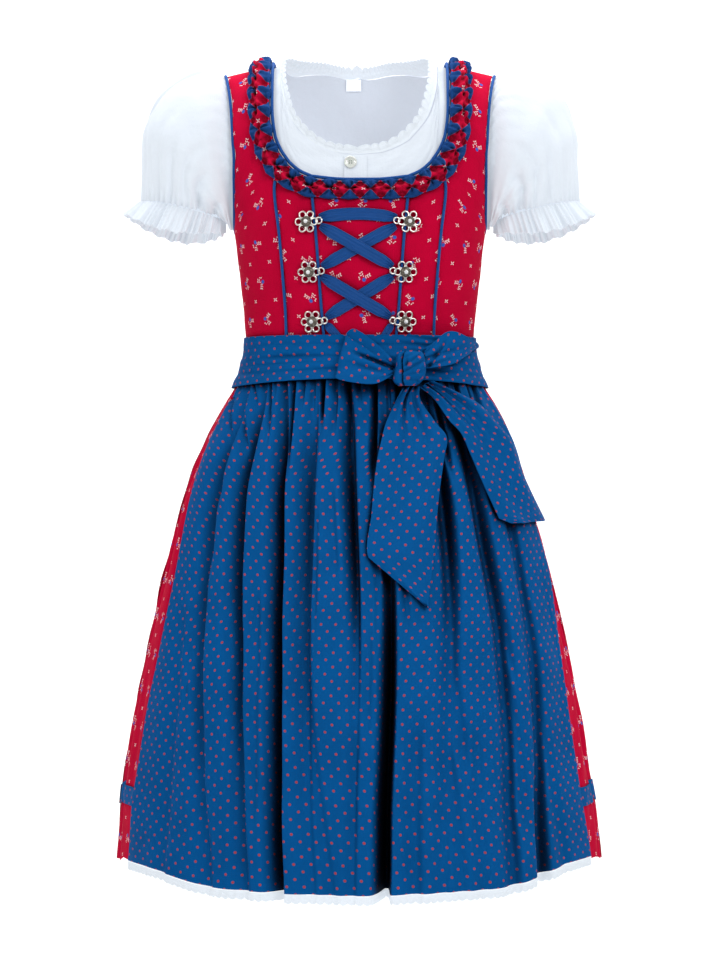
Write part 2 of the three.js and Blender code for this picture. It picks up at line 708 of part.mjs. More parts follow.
for (const { side, wearer, turned } of sides) {
  const edge = chain([...blouseFrontEdge].reverse(), blouseBackEdge).slice(0, -1);
  const armhole = frames(turned(edge), blouseLift, true).map(({ here, across }) =>
    here.clone().addScaledVector(across, side * 0.6),
  );
  const head = armhole.flatMap((p, i) =>
    turns(sleevePuckers).map((t) => p.clone().lerp(armhole[(i + 1) % armhole.length], t)),
  );
  const outer = [head, ...sleeveRings.map((row) => sleeveRing(row, head.length, side))];
  add(`sleeve_${wearer}`, wall(outer, outer.map((ring) => shrunk(ring, blouseWall)), true), "white");
  const frill = frillRings.map((row) => sleeveRing(row, frillWaves * waveColumns, side));
  add(`cuff_frill_${wearer}`, wall(frill, frill.map((ring) => shrunk(ring, 1)), true), "white");
}

// ---------- skirt ----------

const knotsToAngle = (knots, u) => {
  const at = clamp(u, 0, 1) * (knots.length - 1);
  const i = Math.min(Math.floor(at), knots.length - 2);
  return lerp(knots[i], knots[i + 1], at - i);
};

// Cloth that hangs from gathers, sunk into folds. knots(z) are the angles of its edges and folds.
function hanging({ heights, columns, knots, folds, lift }) {
  return heights.map((z) => {
    const section = { ...along(skirtForm, z), z };
    const angles = knots(z, section);
    const gather = along(gatherDepth, z).depth;
    return shares(columns).map((u) => {
      const angle = knotsToAngle(angles, u);
      const phase = u * (angles.length - 1) * gathersPerFold;
      let depth = gather * (0.5 - 0.5 * Math.cos(2 * Math.PI * phase));
      folds(z).forEach((fold, k) => {
        const away = ((angle - angles[k + 1]) * section.half) / fold.wide;
        depth += fold.depth * Math.exp(-away * away);
      });
      return sectionPoint(section, angle, lift - depth);
    });
  });
}

const skirtHeights = [waistZ - 2 * seamGap, apronTopZ, -306, -345, -430, -540, -652, -669, hemZ];
const hemBandRows = [6, 8]; // the rows of skirtHeights between which the ribbon lies

// The inner face of a skirt panel; at the side seams it goes straight in.
function lined(outer) {
  const inner = moved(outer, -cottonWall);
  const last = outer[0].length - 1;
  inner.forEach((row, r) => [0, last].forEach((c) => (row[c].y = outer[r][c].y)));
  return inner;
}

const backKnots = (z) => {
  const share = (waistZ - z) / (waistZ - hemZ);
  const between = backFolds.map((fold) => degToRad(lerp(fold.waist, fold.hem, share)));
  return [Math.PI / 2, ...between, 1.5 * Math.PI];
};
const backDepths = (z) =>
  backFolds.map(({ depth, wide }) => ({ depth: depth * smoothstep(-z, 285, 430), wide }));
const skirtBack = pulledIn(
  hanging({ heights: skirtHeights, columns: 66, knots: backKnots, folds: backDepths, lift: 0 }),
  seams,
);
add("skirt_back", wall(skirtBack, lined(skirtBack)), "printRed");

const sideFold = { angle: 83, depth: 11, wide: 13 };

// Under the apron the front of the skirt lies further in; its sides show past the apron's edges.
const skirtFront = pulledIn(
  skirtHeights.map((z) => {
    const section = { ...along(skirtForm, z), z };
    const { depth, edge } = along(underApron, z);
    const apronEdge = atHeight(apronEdgeX, z);
    const bare = section.half * frontAngle(section, apronEdge);
    return shares(20).map((u) => {
      const angle = (Math.PI / 2) * signedPower(2 * u - 1, 0.75);
      const inside = bare - Math.abs(angle) * section.half + 3;
      const away = ((Math.abs(angle) - degToRad(sideFold.angle)) * section.half) / sideFold.wide;
      const fold = sideFold.depth * smoothstep(-z, 285, 430) * Math.exp(-away * away);
      return sectionPoint(section, angle, -depth * smoothstep(inside, 0, edge) - fold);
    });
  }),
  seams,
);
add("skirt_front", wall(skirtFront, lined(skirtFront)), "printRed");

// A ribbon sewn on the skirt, from the skirt's own points.
function hemBand(skirt) {
  const under = skirt.map((row) => row.map((p) => p.clone()));
  const rows = (distance) => moved(under, distance).slice(...hemBandRows);
  return wall(rows(seamGap + ribbonWall), rows(seamGap));
}
add("hem_band_back", hemBand(skirtBack), "dottedBlue");
add("hem_band_front", hemBand(skirtFront), "dottedBlue");

// ---------- apron ----------

const apronLift = 1.6 + cottonWall; // its outer face, over the crests of the skirt
const apronHeights = [apronTopZ, -306, -345, -430, -540, -652, hemZ];
const apronKnots = (z, section) =>
  [-atHeight(apronEdgeX, z), ...apronFolds.map((fold) => atHeight(fold.x, z)), atHeight(apronEdgeX, z)].map(
    (x) => frontAngle(section, x),
  );
const apronDepths = (z) => apronFolds.map(({ depth, wide }) => ({ depth: atHeight(depth, z), wide }));
const apronGrid = (heights) =>
  hanging({ heights, columns: 60, knots: apronKnots, folds: apronDepths, lift: apronLift });
const apron = apronGrid(apronHeights);
add("apron_panel", wall(apron, moved(apron, -cottonWall)), "dottedBlue");
const apronLace = apronGrid([hemZ - seamGap, hemZ - apronLaceDrop]);
add("apron_lace", wall(apronLace, moved(apronLace, -ribbonWall)), "white");

// ---------- the apron's tie ----------

// The tie is narrower at the middle of the front than at the sides.
function tie(from, to, columns, rows) {
  const grid = shares(rows).map((v) =>
    shares(columns).map((u) => {
      const angle = lerp(from, to, u);
      const sideways = Math.sin(angle) ** 2;
      const z = lerp(lerp(-249.5, -246.5, sideways), lerp(-286, -293, sideways), v);
      return sectionPoint({ ...along(tieForm, z), z }, angle);
    }),
  );
  pulledIn(grid, seams);
  return wall(grid, moved(grid, -cottonWall));
}
add("waist_tie_front", tie(-Math.PI / 2, Math.PI / 2, 24, 4), "dottedBlue");
add("waist_tie_back", tie(Math.PI / 2, 1.5 * Math.PI, 16, 3), "dottedBlue");

// A point in front of the tie at this x and z.
function overTie(x, z, out) {
  const section = { ...along(tieForm, z), z };
  const p = sectionPoint(section, frontAngle(section, x));
  return vec(x, p.y - out, z);
}

const knot = { x: 43.2, z: -277.6, halfWide: 13.4, halfDeep: 9.5, halfHigh: 15.4 };
const knotRing = (share) => {
  const height = Math.cos(share * Math.PI);
  const round = Math.max(Math.sqrt(1 - height * height), 0.35) ** 0.6;
  const centre = overTie(knot.x, knot.z, knot.halfDeep + 4.5);
  return turns(10).map((t) =>
    centre
      .clone()
      .add(
        vec(
          knot.halfWide * round * Math.cos(t * 2 * Math.PI),
          knot.halfDeep * round * Math.sin(t * 2 * Math.PI),
          knot.halfHigh * height,
        ),
      ),
  );
};
add("bow_knot", tube(shares(6).map(knotRing)), "dottedBlue");

// A loop of the bow: the ribbon's upper and lower edge from the knot out along the back layer,
// round its end, and back along the front layer; out is the distance in front of the tie.
const rightLoop = [
  { topX: 29, topZ: -271, lowX: 29, lowZ: -283, out: 5 },
  { topX: 16, topZ: -257, lowX: 14, lowZ: -285, out: 3 },
  { topX: -4, topZ: -243, lowX: -8, lowZ: -284, out: 3.2 },
  { topX: -12.5, topZ: -247, lowX: -20, lowZ: -283, out: 7 },
  { topX: -11, topZ: -250, lowX: -20, lowZ: -287, out: 13 },
  { topX: 3, topZ: -259, lowX: -1, lowZ: -291, out: 18 },
  { topX: 17, topZ: -269, lowX: 15, lowZ: -291, out: 18 },
  { topX: 29.4, topZ: -273.5, lowX: 29.4, lowZ: -283, out: 10.8 },
];
const leftLoop = [
  { topX: 57.3, topZ: -259, lowX: 57.3, lowZ: -270, out: 5 },
  { topX: 78, topZ: -246.5, lowX: 78, lowZ: -271, out: 3 },
  { topX: 99, topZ: -250, lowX: 95, lowZ: -264, out: 4 },
  { topX: 105, topZ: -252, lowX: 98, lowZ: -263, out: 12 },
  { topX: 98, topZ: -249, lowX: 93, lowZ: -266, out: 19 },
  { topX: 78, topZ: -244.5, lowX: 80, lowZ: -273, out: 19 },
  { topX: 56.9, topZ: -266, lowX: 56.9, lowZ: -278, out: 18.5 },
];

function bowLoop(rows, side) {
  const stations = shares(14).map((t) => {
    const table = rows.map((row, i) => ({ z: -i, ...row }));
    return along(table, -t * (rows.length - 1));
  });
  const grid = stations.map(({ topX, topZ, lowX, lowZ, out }) =>
    shares(3).map((v) => overTie(lerp(topX, lowX, v), lerp(topZ, lowZ, v), out)),
  );
  const inner = grid.map((row, r) =>
    row.map((p, c) => {
      const ahead = grid[Math.min(r + 1, grid.length - 1)][c].clone().sub(grid[Math.max(r - 1, 0)][c]);
      return p.clone().addScaledVector(ahead.cross(vec(0, 0, side)).normalize(), cottonWall);
    }),
  );
  return wall(grid, inner);
}
add("bow_loop_right", bowLoop(rightLoop, -1), "dottedBlue");
add("bow_loop_left", bowLoop(leftLoop, 1), "dottedBlue");

// The tails: their two edges from the knot to the cut end, and the height over the apron.
const rightTail = [
  { rightX: 34, rightZ: -293.4, leftX: 46, leftZ: -293.4, out: 8 },
  { rightX: 27, rightZ: -307, leftX: 48, leftZ: -306, out: 6 },
  { rightX: 19.5, rightZ: -325, leftX: 61, leftZ: -325, out: 4.5 },
  { rightX: 16, rightZ: -341, leftX: 70.5, leftZ: -338, out: 4 },
  { rightX: 13, rightZ: -360, leftX: 69, leftZ: -357, out: 3.5 },
  { rightX: 9.5, rightZ: -402, leftX: 64.5, leftZ: -400, out: 3 },
  { rightX: 6.8, rightZ: -440.6, leftX: 60, leftZ: -448, out: 3 },
  { rightX: 31, rightZ: -462, leftX: 57, leftZ: -470, out: 3 },
  { rightX: 53.5, rightZ: -482, leftX: 55.7, leftZ: -483.6, out: 3 },
];
const leftTail = [
  { rightX: 46, rightZ: -293.6, leftX: 55.6, leftZ: -288, out: 10 },
  { rightX: 57, rightZ: -303, leftX: 74.8, leftZ: -296.7, out: 8 },
  { rightX: 69.8, rightZ: -322.3, leftX: 96, leftZ: -308, out: 8 },
  { rightX: 80.2, rightZ: -334, leftX: 117, leftZ: -328, out: 7 },
  { rightX: 89, rightZ: -351, leftX: 132, leftZ: -341, out: 6 },
  { rightX: 103, rightZ: -380, leftX: 141, leftZ: -370, out: 5 },
  { rightX: 117, rightZ: -408.7, leftX: 151, leftZ: -393, out: 4 },
  { rightX: 127.4, rightZ: -413, leftX: 157, leftZ: -411, out: 4 },
];

function bowTail(rows, columns, crease) {
  const grid = rows.map(({ rightX, rightZ, leftX, leftZ, out }) =>
    shares(columns).map((u) => {
      const z = lerp(rightZ, leftZ, u);
      const section = { ...along(skirtForm, z), z };
      const ripple = crease * Math.sin(3 * Math.PI * u);
      const angle = frontAngle(section, lerp(rightX, leftX, u));
      return sectionPoint(section, angle, apronLift + cottonWall + out + ripple);
    }),
  );
  return wall(grid, moved(grid, -cottonWall));
}
add("bow_tail_right", bowTail(rightTail, 5, 1.2), "dottedBlue");
add("bow_tail_left", bowTail(leftTail, 5, 2), "dottedBlue");

// ---------- hooks and lacing ----------

const hooks = [
  { row: "top", rightX: -46.3, leftX: 42.6, z: -148.6 },
  { row: "middle", rightX: -43.8, leftX: 39, z: -191.9 },
  { row: "low", rightX: -41, leftX: 38.6, z: -235.5 },
];
const petalRadius = 3;
const petalPlace = 5.8;
const hookPlate = 1.2;

// Six pierced petals round a dome that ends in a ball.
function hookSolid() {
  const point = (radius, turn) =>
    new THREE.Vector2(radius * Math.cos(turn * 2 * Math.PI), radius * Math.sin(turn * 2 * Math.PI));
  const flower = new THREE.Shape(
    turns(6).flatMap((t) => [
      point(petalPlace + 0.6 * petalRadius, t - 1 / 26),
      point(petalPlace + petalRadius, t),
      point(petalPlace + 0.6 * petalRadius, t + 1 / 26),
      point(petalPlace, t + 1 / 12),
    ]),
  );
  for (const t of turns(6)) {
    const eye = turns(4).map((q) => point(petalPlace, t).add(point(petalRadius * 0.45, t + q)));
    flower.holes.push(new THREE.Path(eye));
  }
  const plate = new THREE.ExtrudeGeometry(flower, { depth: hookPlate, bevelEnabled: false });
  const domeOutline = [[0, 0.1], [4, 0.1], [3.8, 1.9], [1.7, 3.2], [1.6, 4.8], [0, 5.4]];
  const dome = new THREE.LatheGeometry(domeOutline.map(([r, h]) => new THREE.Vector2(r, h)), 7);
  return fused([plate, dome.rotateX(Math.PI / 2)]);
}
for (const { row, rightX, leftX, z } of hooks) {
  for (const [wearer, x] of [["right", rightX], ["left", leftX]])
    add(`hook_${row}_${wearer}`, standing(hookSolid(), front(x, z), trimLift + pipingHigh + seamGap), "silver");
}

// One stretch of the lacing from point to point, drawn in at its ends; over is its height in the middle.
function lacing({ from, to, over = 0, bow = 0, spans = 8, ends = 0.5 }) {
  const stations = shares(spans).map((t) => {
    const middle = Math.sin(Math.PI * t);
    const x = lerp(from[0], to[0], t);
    const z = lerp(from[1], to[1], t) + bow * middle;
    return { spot: front(x, z), half: (lacingWide / 2) * lerp(ends, 1, Math.min(1, 2.2 * middle)), raise: over * middle };
  });
  const low = trimLift + 0.4;
  return tube(
    frames(stations.map((s) => s.spot), low).map(({ here, out, across }, i) => {
      const { half, raise } = stations[i];
      return [[-half, 0], [half, 0], [half, ribbonWall], [-half, ribbonWall]].map(([a, b]) =>
        here.clone().addScaledVector(across, a).addScaledVector(out, b + raise),
      );
    }),
  );
}
const stretches = [
  { name: "lace_bar", from: [-35.5, -145], to: [32, -145.4], bow: 3 },
  { name: "lace_cross_top_over", from: [-34.5, -152.5], to: [28.2, -187.5], over: 3.2 },
  { name: "lace_cross_top_under", from: [31, -152.5], to: [-33, -187.5] },
  { name: "lace_cross_low_over", from: [-33.5, -195.8], to: [26.2, -231.5], over: 3.2 },
  { name: "lace_cross_low_under", from: [28.2, -195.8], to: [-29, -231.5] },
  { name: "lace_end_right", from: [-28, -239.5], to: [-14, -253], spans: 3 },
  { name: "lace_end_left", from: [26.5, -239.5], to: [12, -253], spans: 3 },
];
for (const stretch of stretches) add(stretch.name, lacing(stretch), "plainBlue");

export default garment;
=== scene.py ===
# A child's dirndl: a printed dress with a laced bodice, a dotted apron tied in a bow, a puff-sleeved blouse.
# The cloth is worked out in millimetres from the shoulder line: +Z up, front -Y, the wearer's left +X.
import math
import bpy
import numpy as np
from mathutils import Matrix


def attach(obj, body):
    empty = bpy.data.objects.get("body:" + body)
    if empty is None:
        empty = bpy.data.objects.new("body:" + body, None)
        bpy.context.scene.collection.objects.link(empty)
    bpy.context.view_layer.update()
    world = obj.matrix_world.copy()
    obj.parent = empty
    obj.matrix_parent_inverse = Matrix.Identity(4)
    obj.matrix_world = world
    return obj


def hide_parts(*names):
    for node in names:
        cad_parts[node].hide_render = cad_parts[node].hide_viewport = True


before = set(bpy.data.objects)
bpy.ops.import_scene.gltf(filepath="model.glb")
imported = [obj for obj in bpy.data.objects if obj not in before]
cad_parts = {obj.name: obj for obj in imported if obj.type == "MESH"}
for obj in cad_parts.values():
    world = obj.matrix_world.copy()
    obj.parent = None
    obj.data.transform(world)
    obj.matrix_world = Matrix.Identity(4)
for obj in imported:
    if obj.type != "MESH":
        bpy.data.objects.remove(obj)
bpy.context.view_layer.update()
print("frame loaded")

mm = 0.001
pi = math.pi

# Small helpers for numbers and tables.

def table(names, *rows):
    return dict(zip(names.split(), np.array(rows, float).T))

def mix(a, b, t):
    return a + (b - a) * t

def smooth(v, low, high):
    t = np.clip((v - low) / (high - low), 0, 1)
    return t * t * (3 - 2 * t)

def signedPower(v, power):
    return np.sign(v) * np.abs(v) ** power

def unit(v):
    return v / np.maximum(np.linalg.norm(v, axis=-1, keepdims=True), 1e-9)

def cubic(p, v, t):  # through v[1] and v[2], at share t between the places p[1] and p[2]
    span = p[2] - p[1]
    slopeIn = (v[2] - v[0]) / (p[2] - p[0]) * span
    slopeOut = (v[3] - v[1]) / (p[3] - p[1]) * span
    rise = 3 * t**2 - 2 * t**3
    return (1 - rise) * v[1] + (t**3 - 2 * t**2 + t) * slopeIn + rise * v[2] + (t**3 - t**2) * slopeOut

def fourAround(places, at):  # the four rows round each place; the places run upwards
    last = len(places) - 1
    i = np.clip(np.searchsorted(places, at) - 1, 0, last - 1)
    four = [np.maximum(i - 1, 0), i, i + 1, np.minimum(i + 2, last)]
    return four, (at - places[four[1]]) / (places[four[2]] - places[four[1]])

def along(rows, key, z):  # a column of a table at these heights; its rows run downwards
    down, z = -rows["z"], -np.asarray(z, float)
    four, t = fourAround(down, np.clip(z, down[0], down[-1]))
    return cubic([down[k] for k in four], [rows[key][k] for k in four], t)

def through(values, t):  # a smooth line through evenly spaced rows of values
    values = np.asarray(values, float)
    places = np.arange(len(values), dtype=float)
    four, share = fourAround(places, np.asarray(t, float) * (len(values) - 1))
    share = share.reshape(share.shape + (1,) * (values.ndim - 1))
    flatPlaces = [places[k].reshape(share.shape) for k in four]
    return cubic(flatPlaces, [values[k] for k in four], share)

def ripple(u, v, seed, waves=7, long=60.0, short=18.0):  # soft uneven waves from -1 to 1, in mm
    chance = np.random.default_rng(seed)
    total = np.zeros(np.broadcast(u, v).shape)
    for _ in range(waves):
        turn, size, start = chance.uniform(0, pi), chance.uniform(short, long), chance.uniform(0, 2 * pi)
        total += np.sin((u * math.cos(turn) + v * math.sin(turn)) * 2 * pi / size + start)
    return total / waves**0.5

# The form under the cloth, the same as the solids'.

roundingZ, waistZ, underarmZ, hemZ, blouseHemZ = -75, -262, -153, -718, -200
shoulderX, neckX = 120.5, 80
seamGap = 0.03  # how far each panel stops short of its seam
shoulderGap = 0.15  # the same at the shoulders and in the blouse
sway = 2.6  # the skirt hangs this much towards the wearer's right
bodiceLift, blouseLift, trimLift = 1.6, -3.2, 1.9  # outer faces of bodice and blouse, underside of the trims

torso = table(
    "z half front back square",
    (-75, 124, 77, 78, 3.2),
    (-100, 120.5, 79.5, 79.5, 3.1),
    (-120, 117, 82, 80, 2.9),
    (-150, 112.4, 85.5, 79.5, 2.6),
    (-170, 109.9, 86, 78, 2.45),
    (-198, 106.8, 83.5, 75, 2.3),
    (-225, 103.8, 80, 72, 2.2),
    (-248, 102.2, 79, 71, 2.15),
    (-262, 102, 80, 72, 2.15),
)
skirtForm = table(
    "z half front back square",
    (-262, 103.6, 81.6, 73.6, 2.15),
    (-284, 111.3, 89.6, 81.2, 2.1),
    (-292, 114, 92.8, 84.6, 2.1),
    (-306, 123, 98, 91, 2.05),
    (-339, 140, 114, 106, 2),
    (-384, 156, 133, 124, 1.95),
    (-448, 173, 157, 147, 1.9),
    (-520, 189.5, 180, 168, 1.88),
    (-593, 203.5, 199, 185, 1.86),
    (-666, 215, 214, 198, 1.85),
    (-726, 220.5, 223, 206, 1.85),
)
tieForm = table(
    "z half front back square",
    (-246, 105.5, 85, 76.5, 2.15),
    (-263, 106.9, 87.5, 79.5, 2.15),
    (-270, 109.6, 90.5, 82, 2.12),
    (-278, 111.2, 91.8, 83.5, 2.1),
    (-284, 114.2, 95.4, 87.2, 2.1),
    (-293, 117.4, 98.6, 90.3, 2.1),
)

def sectionPoint(rows, z, angle, out=0.0):
    z, angle = np.broadcast_arrays(np.asarray(z, float), np.asarray(angle, float))
    half, square = along(rows, "half", z), along(rows, "square", z)
    depth = np.where(np.cos(angle) > 0, along(rows, "front", z), along(rows, "back", z))
    x = half * signedPower(np.sin(angle), 2 / square)
    y = -depth * signedPower(np.cos(angle), 2 / square)
    normal = unit(np.stack([
        signedPower(x / half, square - 1) / half,
        signedPower(y / depth, square - 1) / depth,
        np.zeros_like(x),
    ], -1))
    if rows is skirtForm:
        x = x - sway * smooth(-z, 300, 390) * (1 - 0.7 * smooth(-z, 640, 718))
    return np.stack([x, y, z], -1) + normal * np.asarray(out)[..., None]

def frontAngle(rows, z, x):
    share = np.minimum(1, np.abs(x) / along(rows, "half", z))
    return np.sign(x) * np.arcsin(share ** (along(rows, "square", z) / 2))

def ridge(x):  # the shoulder line climbs from the arm towards the neck
    return -9 + 58 * np.maximum(0, 1 - np.abs(x) / shoulderX) ** 1.6

def form(places):  # angle round the body, and rise: under 0 below the rounding, 1 at the shoulder line
    angle, rise = places[..., 0], places[..., 1]
    z = np.minimum(rise, 0) * 100 + roundingZ
    p = sectionPoint(torso, z, angle)
    turn = np.maximum(rise, 0) * pi / 2
    p[..., 1] *= np.cos(turn)
    p[..., 2] = np.where(rise > 0, mix(roundingZ, ridge(p[..., 0]), np.sin(turn)), z)
    return p

def onForm(places, lift=0.0):
    places = np.asarray(places, float)
    aside, up = np.array([0.004, 0]), np.array([0, 0.004])
    normal = np.cross(form(places + aside) - form(places - aside), form(places + up) - form(places - up))
    return form(places) + unit(normal) * np.asarray(lift)[..., None]

def place(x, z, back=False):
    angle = float(frontAngle(torso, min(z, roundingZ), x))
    share = min((z - roundingZ) / (ridge(x) - roundingZ), 1)
    rise = (z - roundingZ) / 100 if z <= roundingZ else math.asin(share) / (pi / 2)
    return [pi - angle if back else angle, rise]

def behind(x, z):
    return place(x, z, True)

def crest(x, back=False):
    return place(x, ridge(x), back)

def overShoulder(x, z):  # the same spot, reached from the front over the shoulder line
    angle, rise = place(x, z)
    return [angle, 2 - rise]

def atSide(z):
    return [pi / 2, (z - roundingZ) / 100]

def mirrored(places):
    return np.asarray(places) * [-1, 1]

def bothSides(half):
    return np.concatenate([mirrored(half)[::-1], np.asarray(half)[1:]])

def allRound(half):  # a half line from the centre front to the centre back, closed by its mirror image
    return np.concatenate([half, mirrored(half[1:-1])[::-1]])

def fromBehind(places):  # angles counted from the centre back
    places = np.asarray(places)
    return np.stack([pi - places[:, 0], places[:, 1]], -1)

def acrossBack(half):  # the back runs through the centre back, where the angle is half a turn
    return fromBehind(bothSides(fromBehind(half)))

def chain(*parts):
    return np.concatenate([parts[0]] + [part[1:] for part in parts[1:]])

def sampled(places, spans):  # places evenly spaced along a smooth curve over the form
    places = np.asarray(places, float)
    steps = np.linalg.norm(np.diff(onForm(places), axis=0), axis=1)
    lengths = np.concatenate([[0], np.cumsum(steps)])
    four, t = fourAround(lengths, np.linspace(0, lengths[-1], spans + 1))
    where = [lengths[k] for k in four]
    return np.stack([cubic(where, [places[k, axis] for k in four], t) for axis in (0, 1)], -1)

def patch(foot, top, left, right, reach=1.0):  # places between four lines that meet at their corners
    u = np.linspace(0, 1, len(foot))[None, :, None]
    v = np.linspace(0, 1, len(left))[:, None, None]
    leftPull = (left[:, None] - mix(foot[0], top[0], v)) * (1 - u) ** reach
    rightPull = (right[:, None] - mix(foot[-1], top[-1], v)) * u**reach
    return mix(foot[None], top[None], v) + leftPull + rightPull

def pulledIn(grid, foot=0.0, top=0.0, left=0.0, right=0.0):  # the border moved inwards
    grid = grid.copy()
    for side, inner, by in ((grid[:, 0], grid[:, 1], left), (grid[:, -1], grid[:, -2], right),
                            (grid[0], grid[1], foot), (grid[-1], grid[-2], top)):
        side += unit(inner - side) * by
    return grid

# Meshes: thin shells of cloth, and solids through rings of points.

def normalsOf(grid, wrap=False):
    across = np.roll(grid, -1, 1) - np.roll(grid, 1, 1) if wrap else np.gradient(grid, axis=1)
    return unit(np.cross(across, np.gradient(grid, axis=0)))

def facing(normal, grid):  # 1 where the normals point away from the body, and -1 where they point to it
    return np.sign((normal[..., :2] * grid[..., :2]).sum())

def pickedRound(line, columns):  # evenly numbered points of a closed line
    line = np.concatenate([line, line[:1]])
    spots = np.arange(columns) / columns * (len(line) - 1)
    return np.stack([np.interp(spots, np.arange(len(line)), line[:, k]) for k in range(3)], -1)

def clothUv(grid, wrap=False):  # distances along the cloth in mm, from the middle of its first row
    if wrap:
        grid = np.concatenate([grid, grid[:, :1]], 1)
    across = np.linalg.norm(np.diff(grid, axis=1), axis=2).cumsum(1)
    across = np.pad(across, ((0, 0), (1, 0)))
    down = np.linalg.norm(np.diff(grid, axis=0), axis=2).mean(1).cumsum()
    v = np.broadcast_to(np.pad(down, (1, 0))[:, None], across.shape)
    return np.stack([across - across[:, -1:] / 2, v], -1)

def cutOf(grid, wrap=False):  # width, length and area of the flat cut, in metres
    if wrap:
        grid = np.concatenate([grid, grid[:, :1]], 1)
    across, down = np.diff(grid, axis=1), np.diff(grid, axis=0)
    area = np.linalg.norm(np.cross(across[:-1], down[:, :-1]), axis=2).sum() / 2
    area += np.linalg.norm(np.cross(across[1:], down[:, 1:]), axis=2).sum() / 2
    width = np.linalg.norm(across, axis=2).sum(1).max() * mm
    length = np.linalg.norm(down, axis=2).sum(0).max() * mm
    return (width, length), area * mm * mm

def makePiece(name, points, faces, uvs=None, materials=(), indices=None, sharp=60):
    mesh = bpy.data.meshes.new(name)
    mesh.from_pydata((np.asarray(points) * mm).tolist(), [], faces)
    if uvs is not None:
        layer = mesh.uv_layers.new(name="clothMm")
        layer.data.foreach_set("uv", np.asarray(uvs, np.float32).ravel())
    for material in materials:
        mesh.materials.append(material)
    if indices is not None:
        mesh.polygons.foreach_set("material_index", np.asarray(indices, np.int32))
    mesh.polygons.foreach_set("use_smooth", [True] * len(mesh.polygons))
    mesh.set_sharp_from_angle(angle=math.radians(sharp))
    mesh.update()
    piece = bpy.data.objects.new(name, mesh)
    bpy.context.scene.collection.objects.link(piece)
    return piece

def shell(name, outer, uv, materials, thick=0.8, wrap=False, outward=None, indices=None):
    # a thin cloth shell: its outer points, and the same moved in by its thickness
    rows, columns = outer.shape[:2]
    normal = normalsOf(outer, wrap)
    if outward is None:
        outward = facing(normal, outer)
    inner = outer - normal * outward * thick
    points = np.concatenate([outer.reshape(-1, 3), inner.reshape(-1, 3)])
    uv = uv if wrap else uv[:, :columns]
    spans = columns if wrap else columns - 1
    r, c = np.meshgrid(np.arange(rows - 1), np.arange(spans), indexing="ij")
    r, c = r.ravel(), c.ravel()
    def corner(side, row, column):
        vertex = side * rows * columns + row * columns + column % columns
        return np.stack([vertex, row * uv.shape[1] + column], -1)
    def quads(*corners):
        return np.stack(corners, 1)
    last, edge = rows - 1, np.arange(spans)
    zero = np.zeros_like(edge)
    front = quads(corner(0, r, c), corner(0, r, c + 1), corner(0, r + 1, c + 1), corner(0, r + 1, c))
    lining = quads(corner(1, r, c), corner(1, r + 1, c), corner(1, r + 1, c + 1), corner(1, r, c + 1))
    rim = [
        quads(corner(0, zero, edge), corner(1, zero, edge),
              corner(1, zero, edge + 1), corner(0, zero, edge + 1)),
        quads(corner(0, zero + last, edge), corner(0, zero + last, edge + 1),
              corner(1, zero + last, edge + 1), corner(1, zero + last, edge)),
    ]
    if not wrap:
        side, zero = np.arange(rows - 1), np.zeros(rows - 1, int)
        end = zero + columns - 1
        rim.append(quads(corner(0, side, zero), corner(0, side + 1, zero),
                         corner(1, side + 1, zero), corner(1, side, zero)))
        rim.append(quads(corner(0, side, end), corner(1, side, end),
                         corner(1, side + 1, end), corner(0, side + 1, end)))
    everything = np.concatenate([front, lining] + rim)
    if outward < 0:
        everything = everything[:, ::-1]
    if indices is None and len(materials) > 1:
        indices = np.concatenate([np.zeros(len(front)), np.ones(len(everything) - len(front))])
    elif indices is not None:
        indices = np.concatenate([indices.ravel(), np.ones(len(everything) - len(front))])
    uvs = uv.reshape(-1, 2)[everything[..., 1].ravel()]
    return makePiece(name, points, everything[..., 0].tolist(), uvs, materials=materials, indices=indices)

def ringBody(rings, closed=False):  # points and faces of a solid through rings
    rings = np.asarray(rings, float)
    count, sides = rings.shape[:2]
    faces = []
    for r in range(count if closed else count - 1):
        here, ahead = r * sides, (r + 1) % count * sides
        beside = [(c + 1) % sides for c in range(sides)]
        faces += [[here + c, here + d, ahead + d, ahead + c] for c, d in enumerate(beside)]
    if not closed:
        faces += [list(range(sides))[::-1], list(range((count - 1) * sides, count * sides))]
    points = rings.reshape(-1, 3)
    a, b, d = [points[[face[k] for face in faces]] for k in (0, 1, 2)]
    if (a * np.cross(b, d)).sum() < 0:
        faces = [face[::-1] for face in faces]
    return points, faces

def tube(name, rings, materials, closed=False, uvRound=10.0, sharp=60):
    points, faces = ringBody(rings, closed)
    rings = np.asarray(rings, float)
    count, sides = rings.shape[:2]
    spans = count if closed else count - 1
    r, c = [a.ravel() for a in np.meshgrid(np.arange(spans), np.arange(sides), indexing="ij")]
    steps = np.linalg.norm(np.diff(rings.mean(1), axis=0, append=rings[:1].mean(1)), axis=1)
    way = np.pad(steps.cumsum(), (1, 0))
    u = np.stack([c, c + 1, c + 1, c], -1) / sides * uvRound
    v = np.stack([way[r], way[r], way[r + 1], way[r + 1]], -1)
    uvs = np.stack([u, v], -1).reshape(-1, 2)
    if not closed:
        uvs = np.concatenate([uvs, np.zeros((2 * sides, 2))])
    return makePiece(name, points, faces, uvs, materials=materials, sharp=sharp)

def finishPiece(piece, nodes, cut=None):
    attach(piece, "root")
    if nodes:
        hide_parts(*nodes)
    return piece

def joined(name, parts, materials):
    # many small closed bodies, given as (points, faces, material), in one mesh
    points, faces, indices, start = [], [], [], 0
    for bodyPoints, bodyFaces, index in parts:
        points.append(bodyPoints)
        faces += [[k + start for k in face] for face in bodyFaces]
        indices += [index] * len(bodyFaces)
        start += len(bodyPoints)
    points = np.concatenate(points)
    corners = points[[k for face in faces for k in face]]
    return makePiece(name, points, faces, corners[:, [0, 2]], materials=materials, indices=indices, sharp=50)

# Materials: one small function adds a node, the others put a finish together.

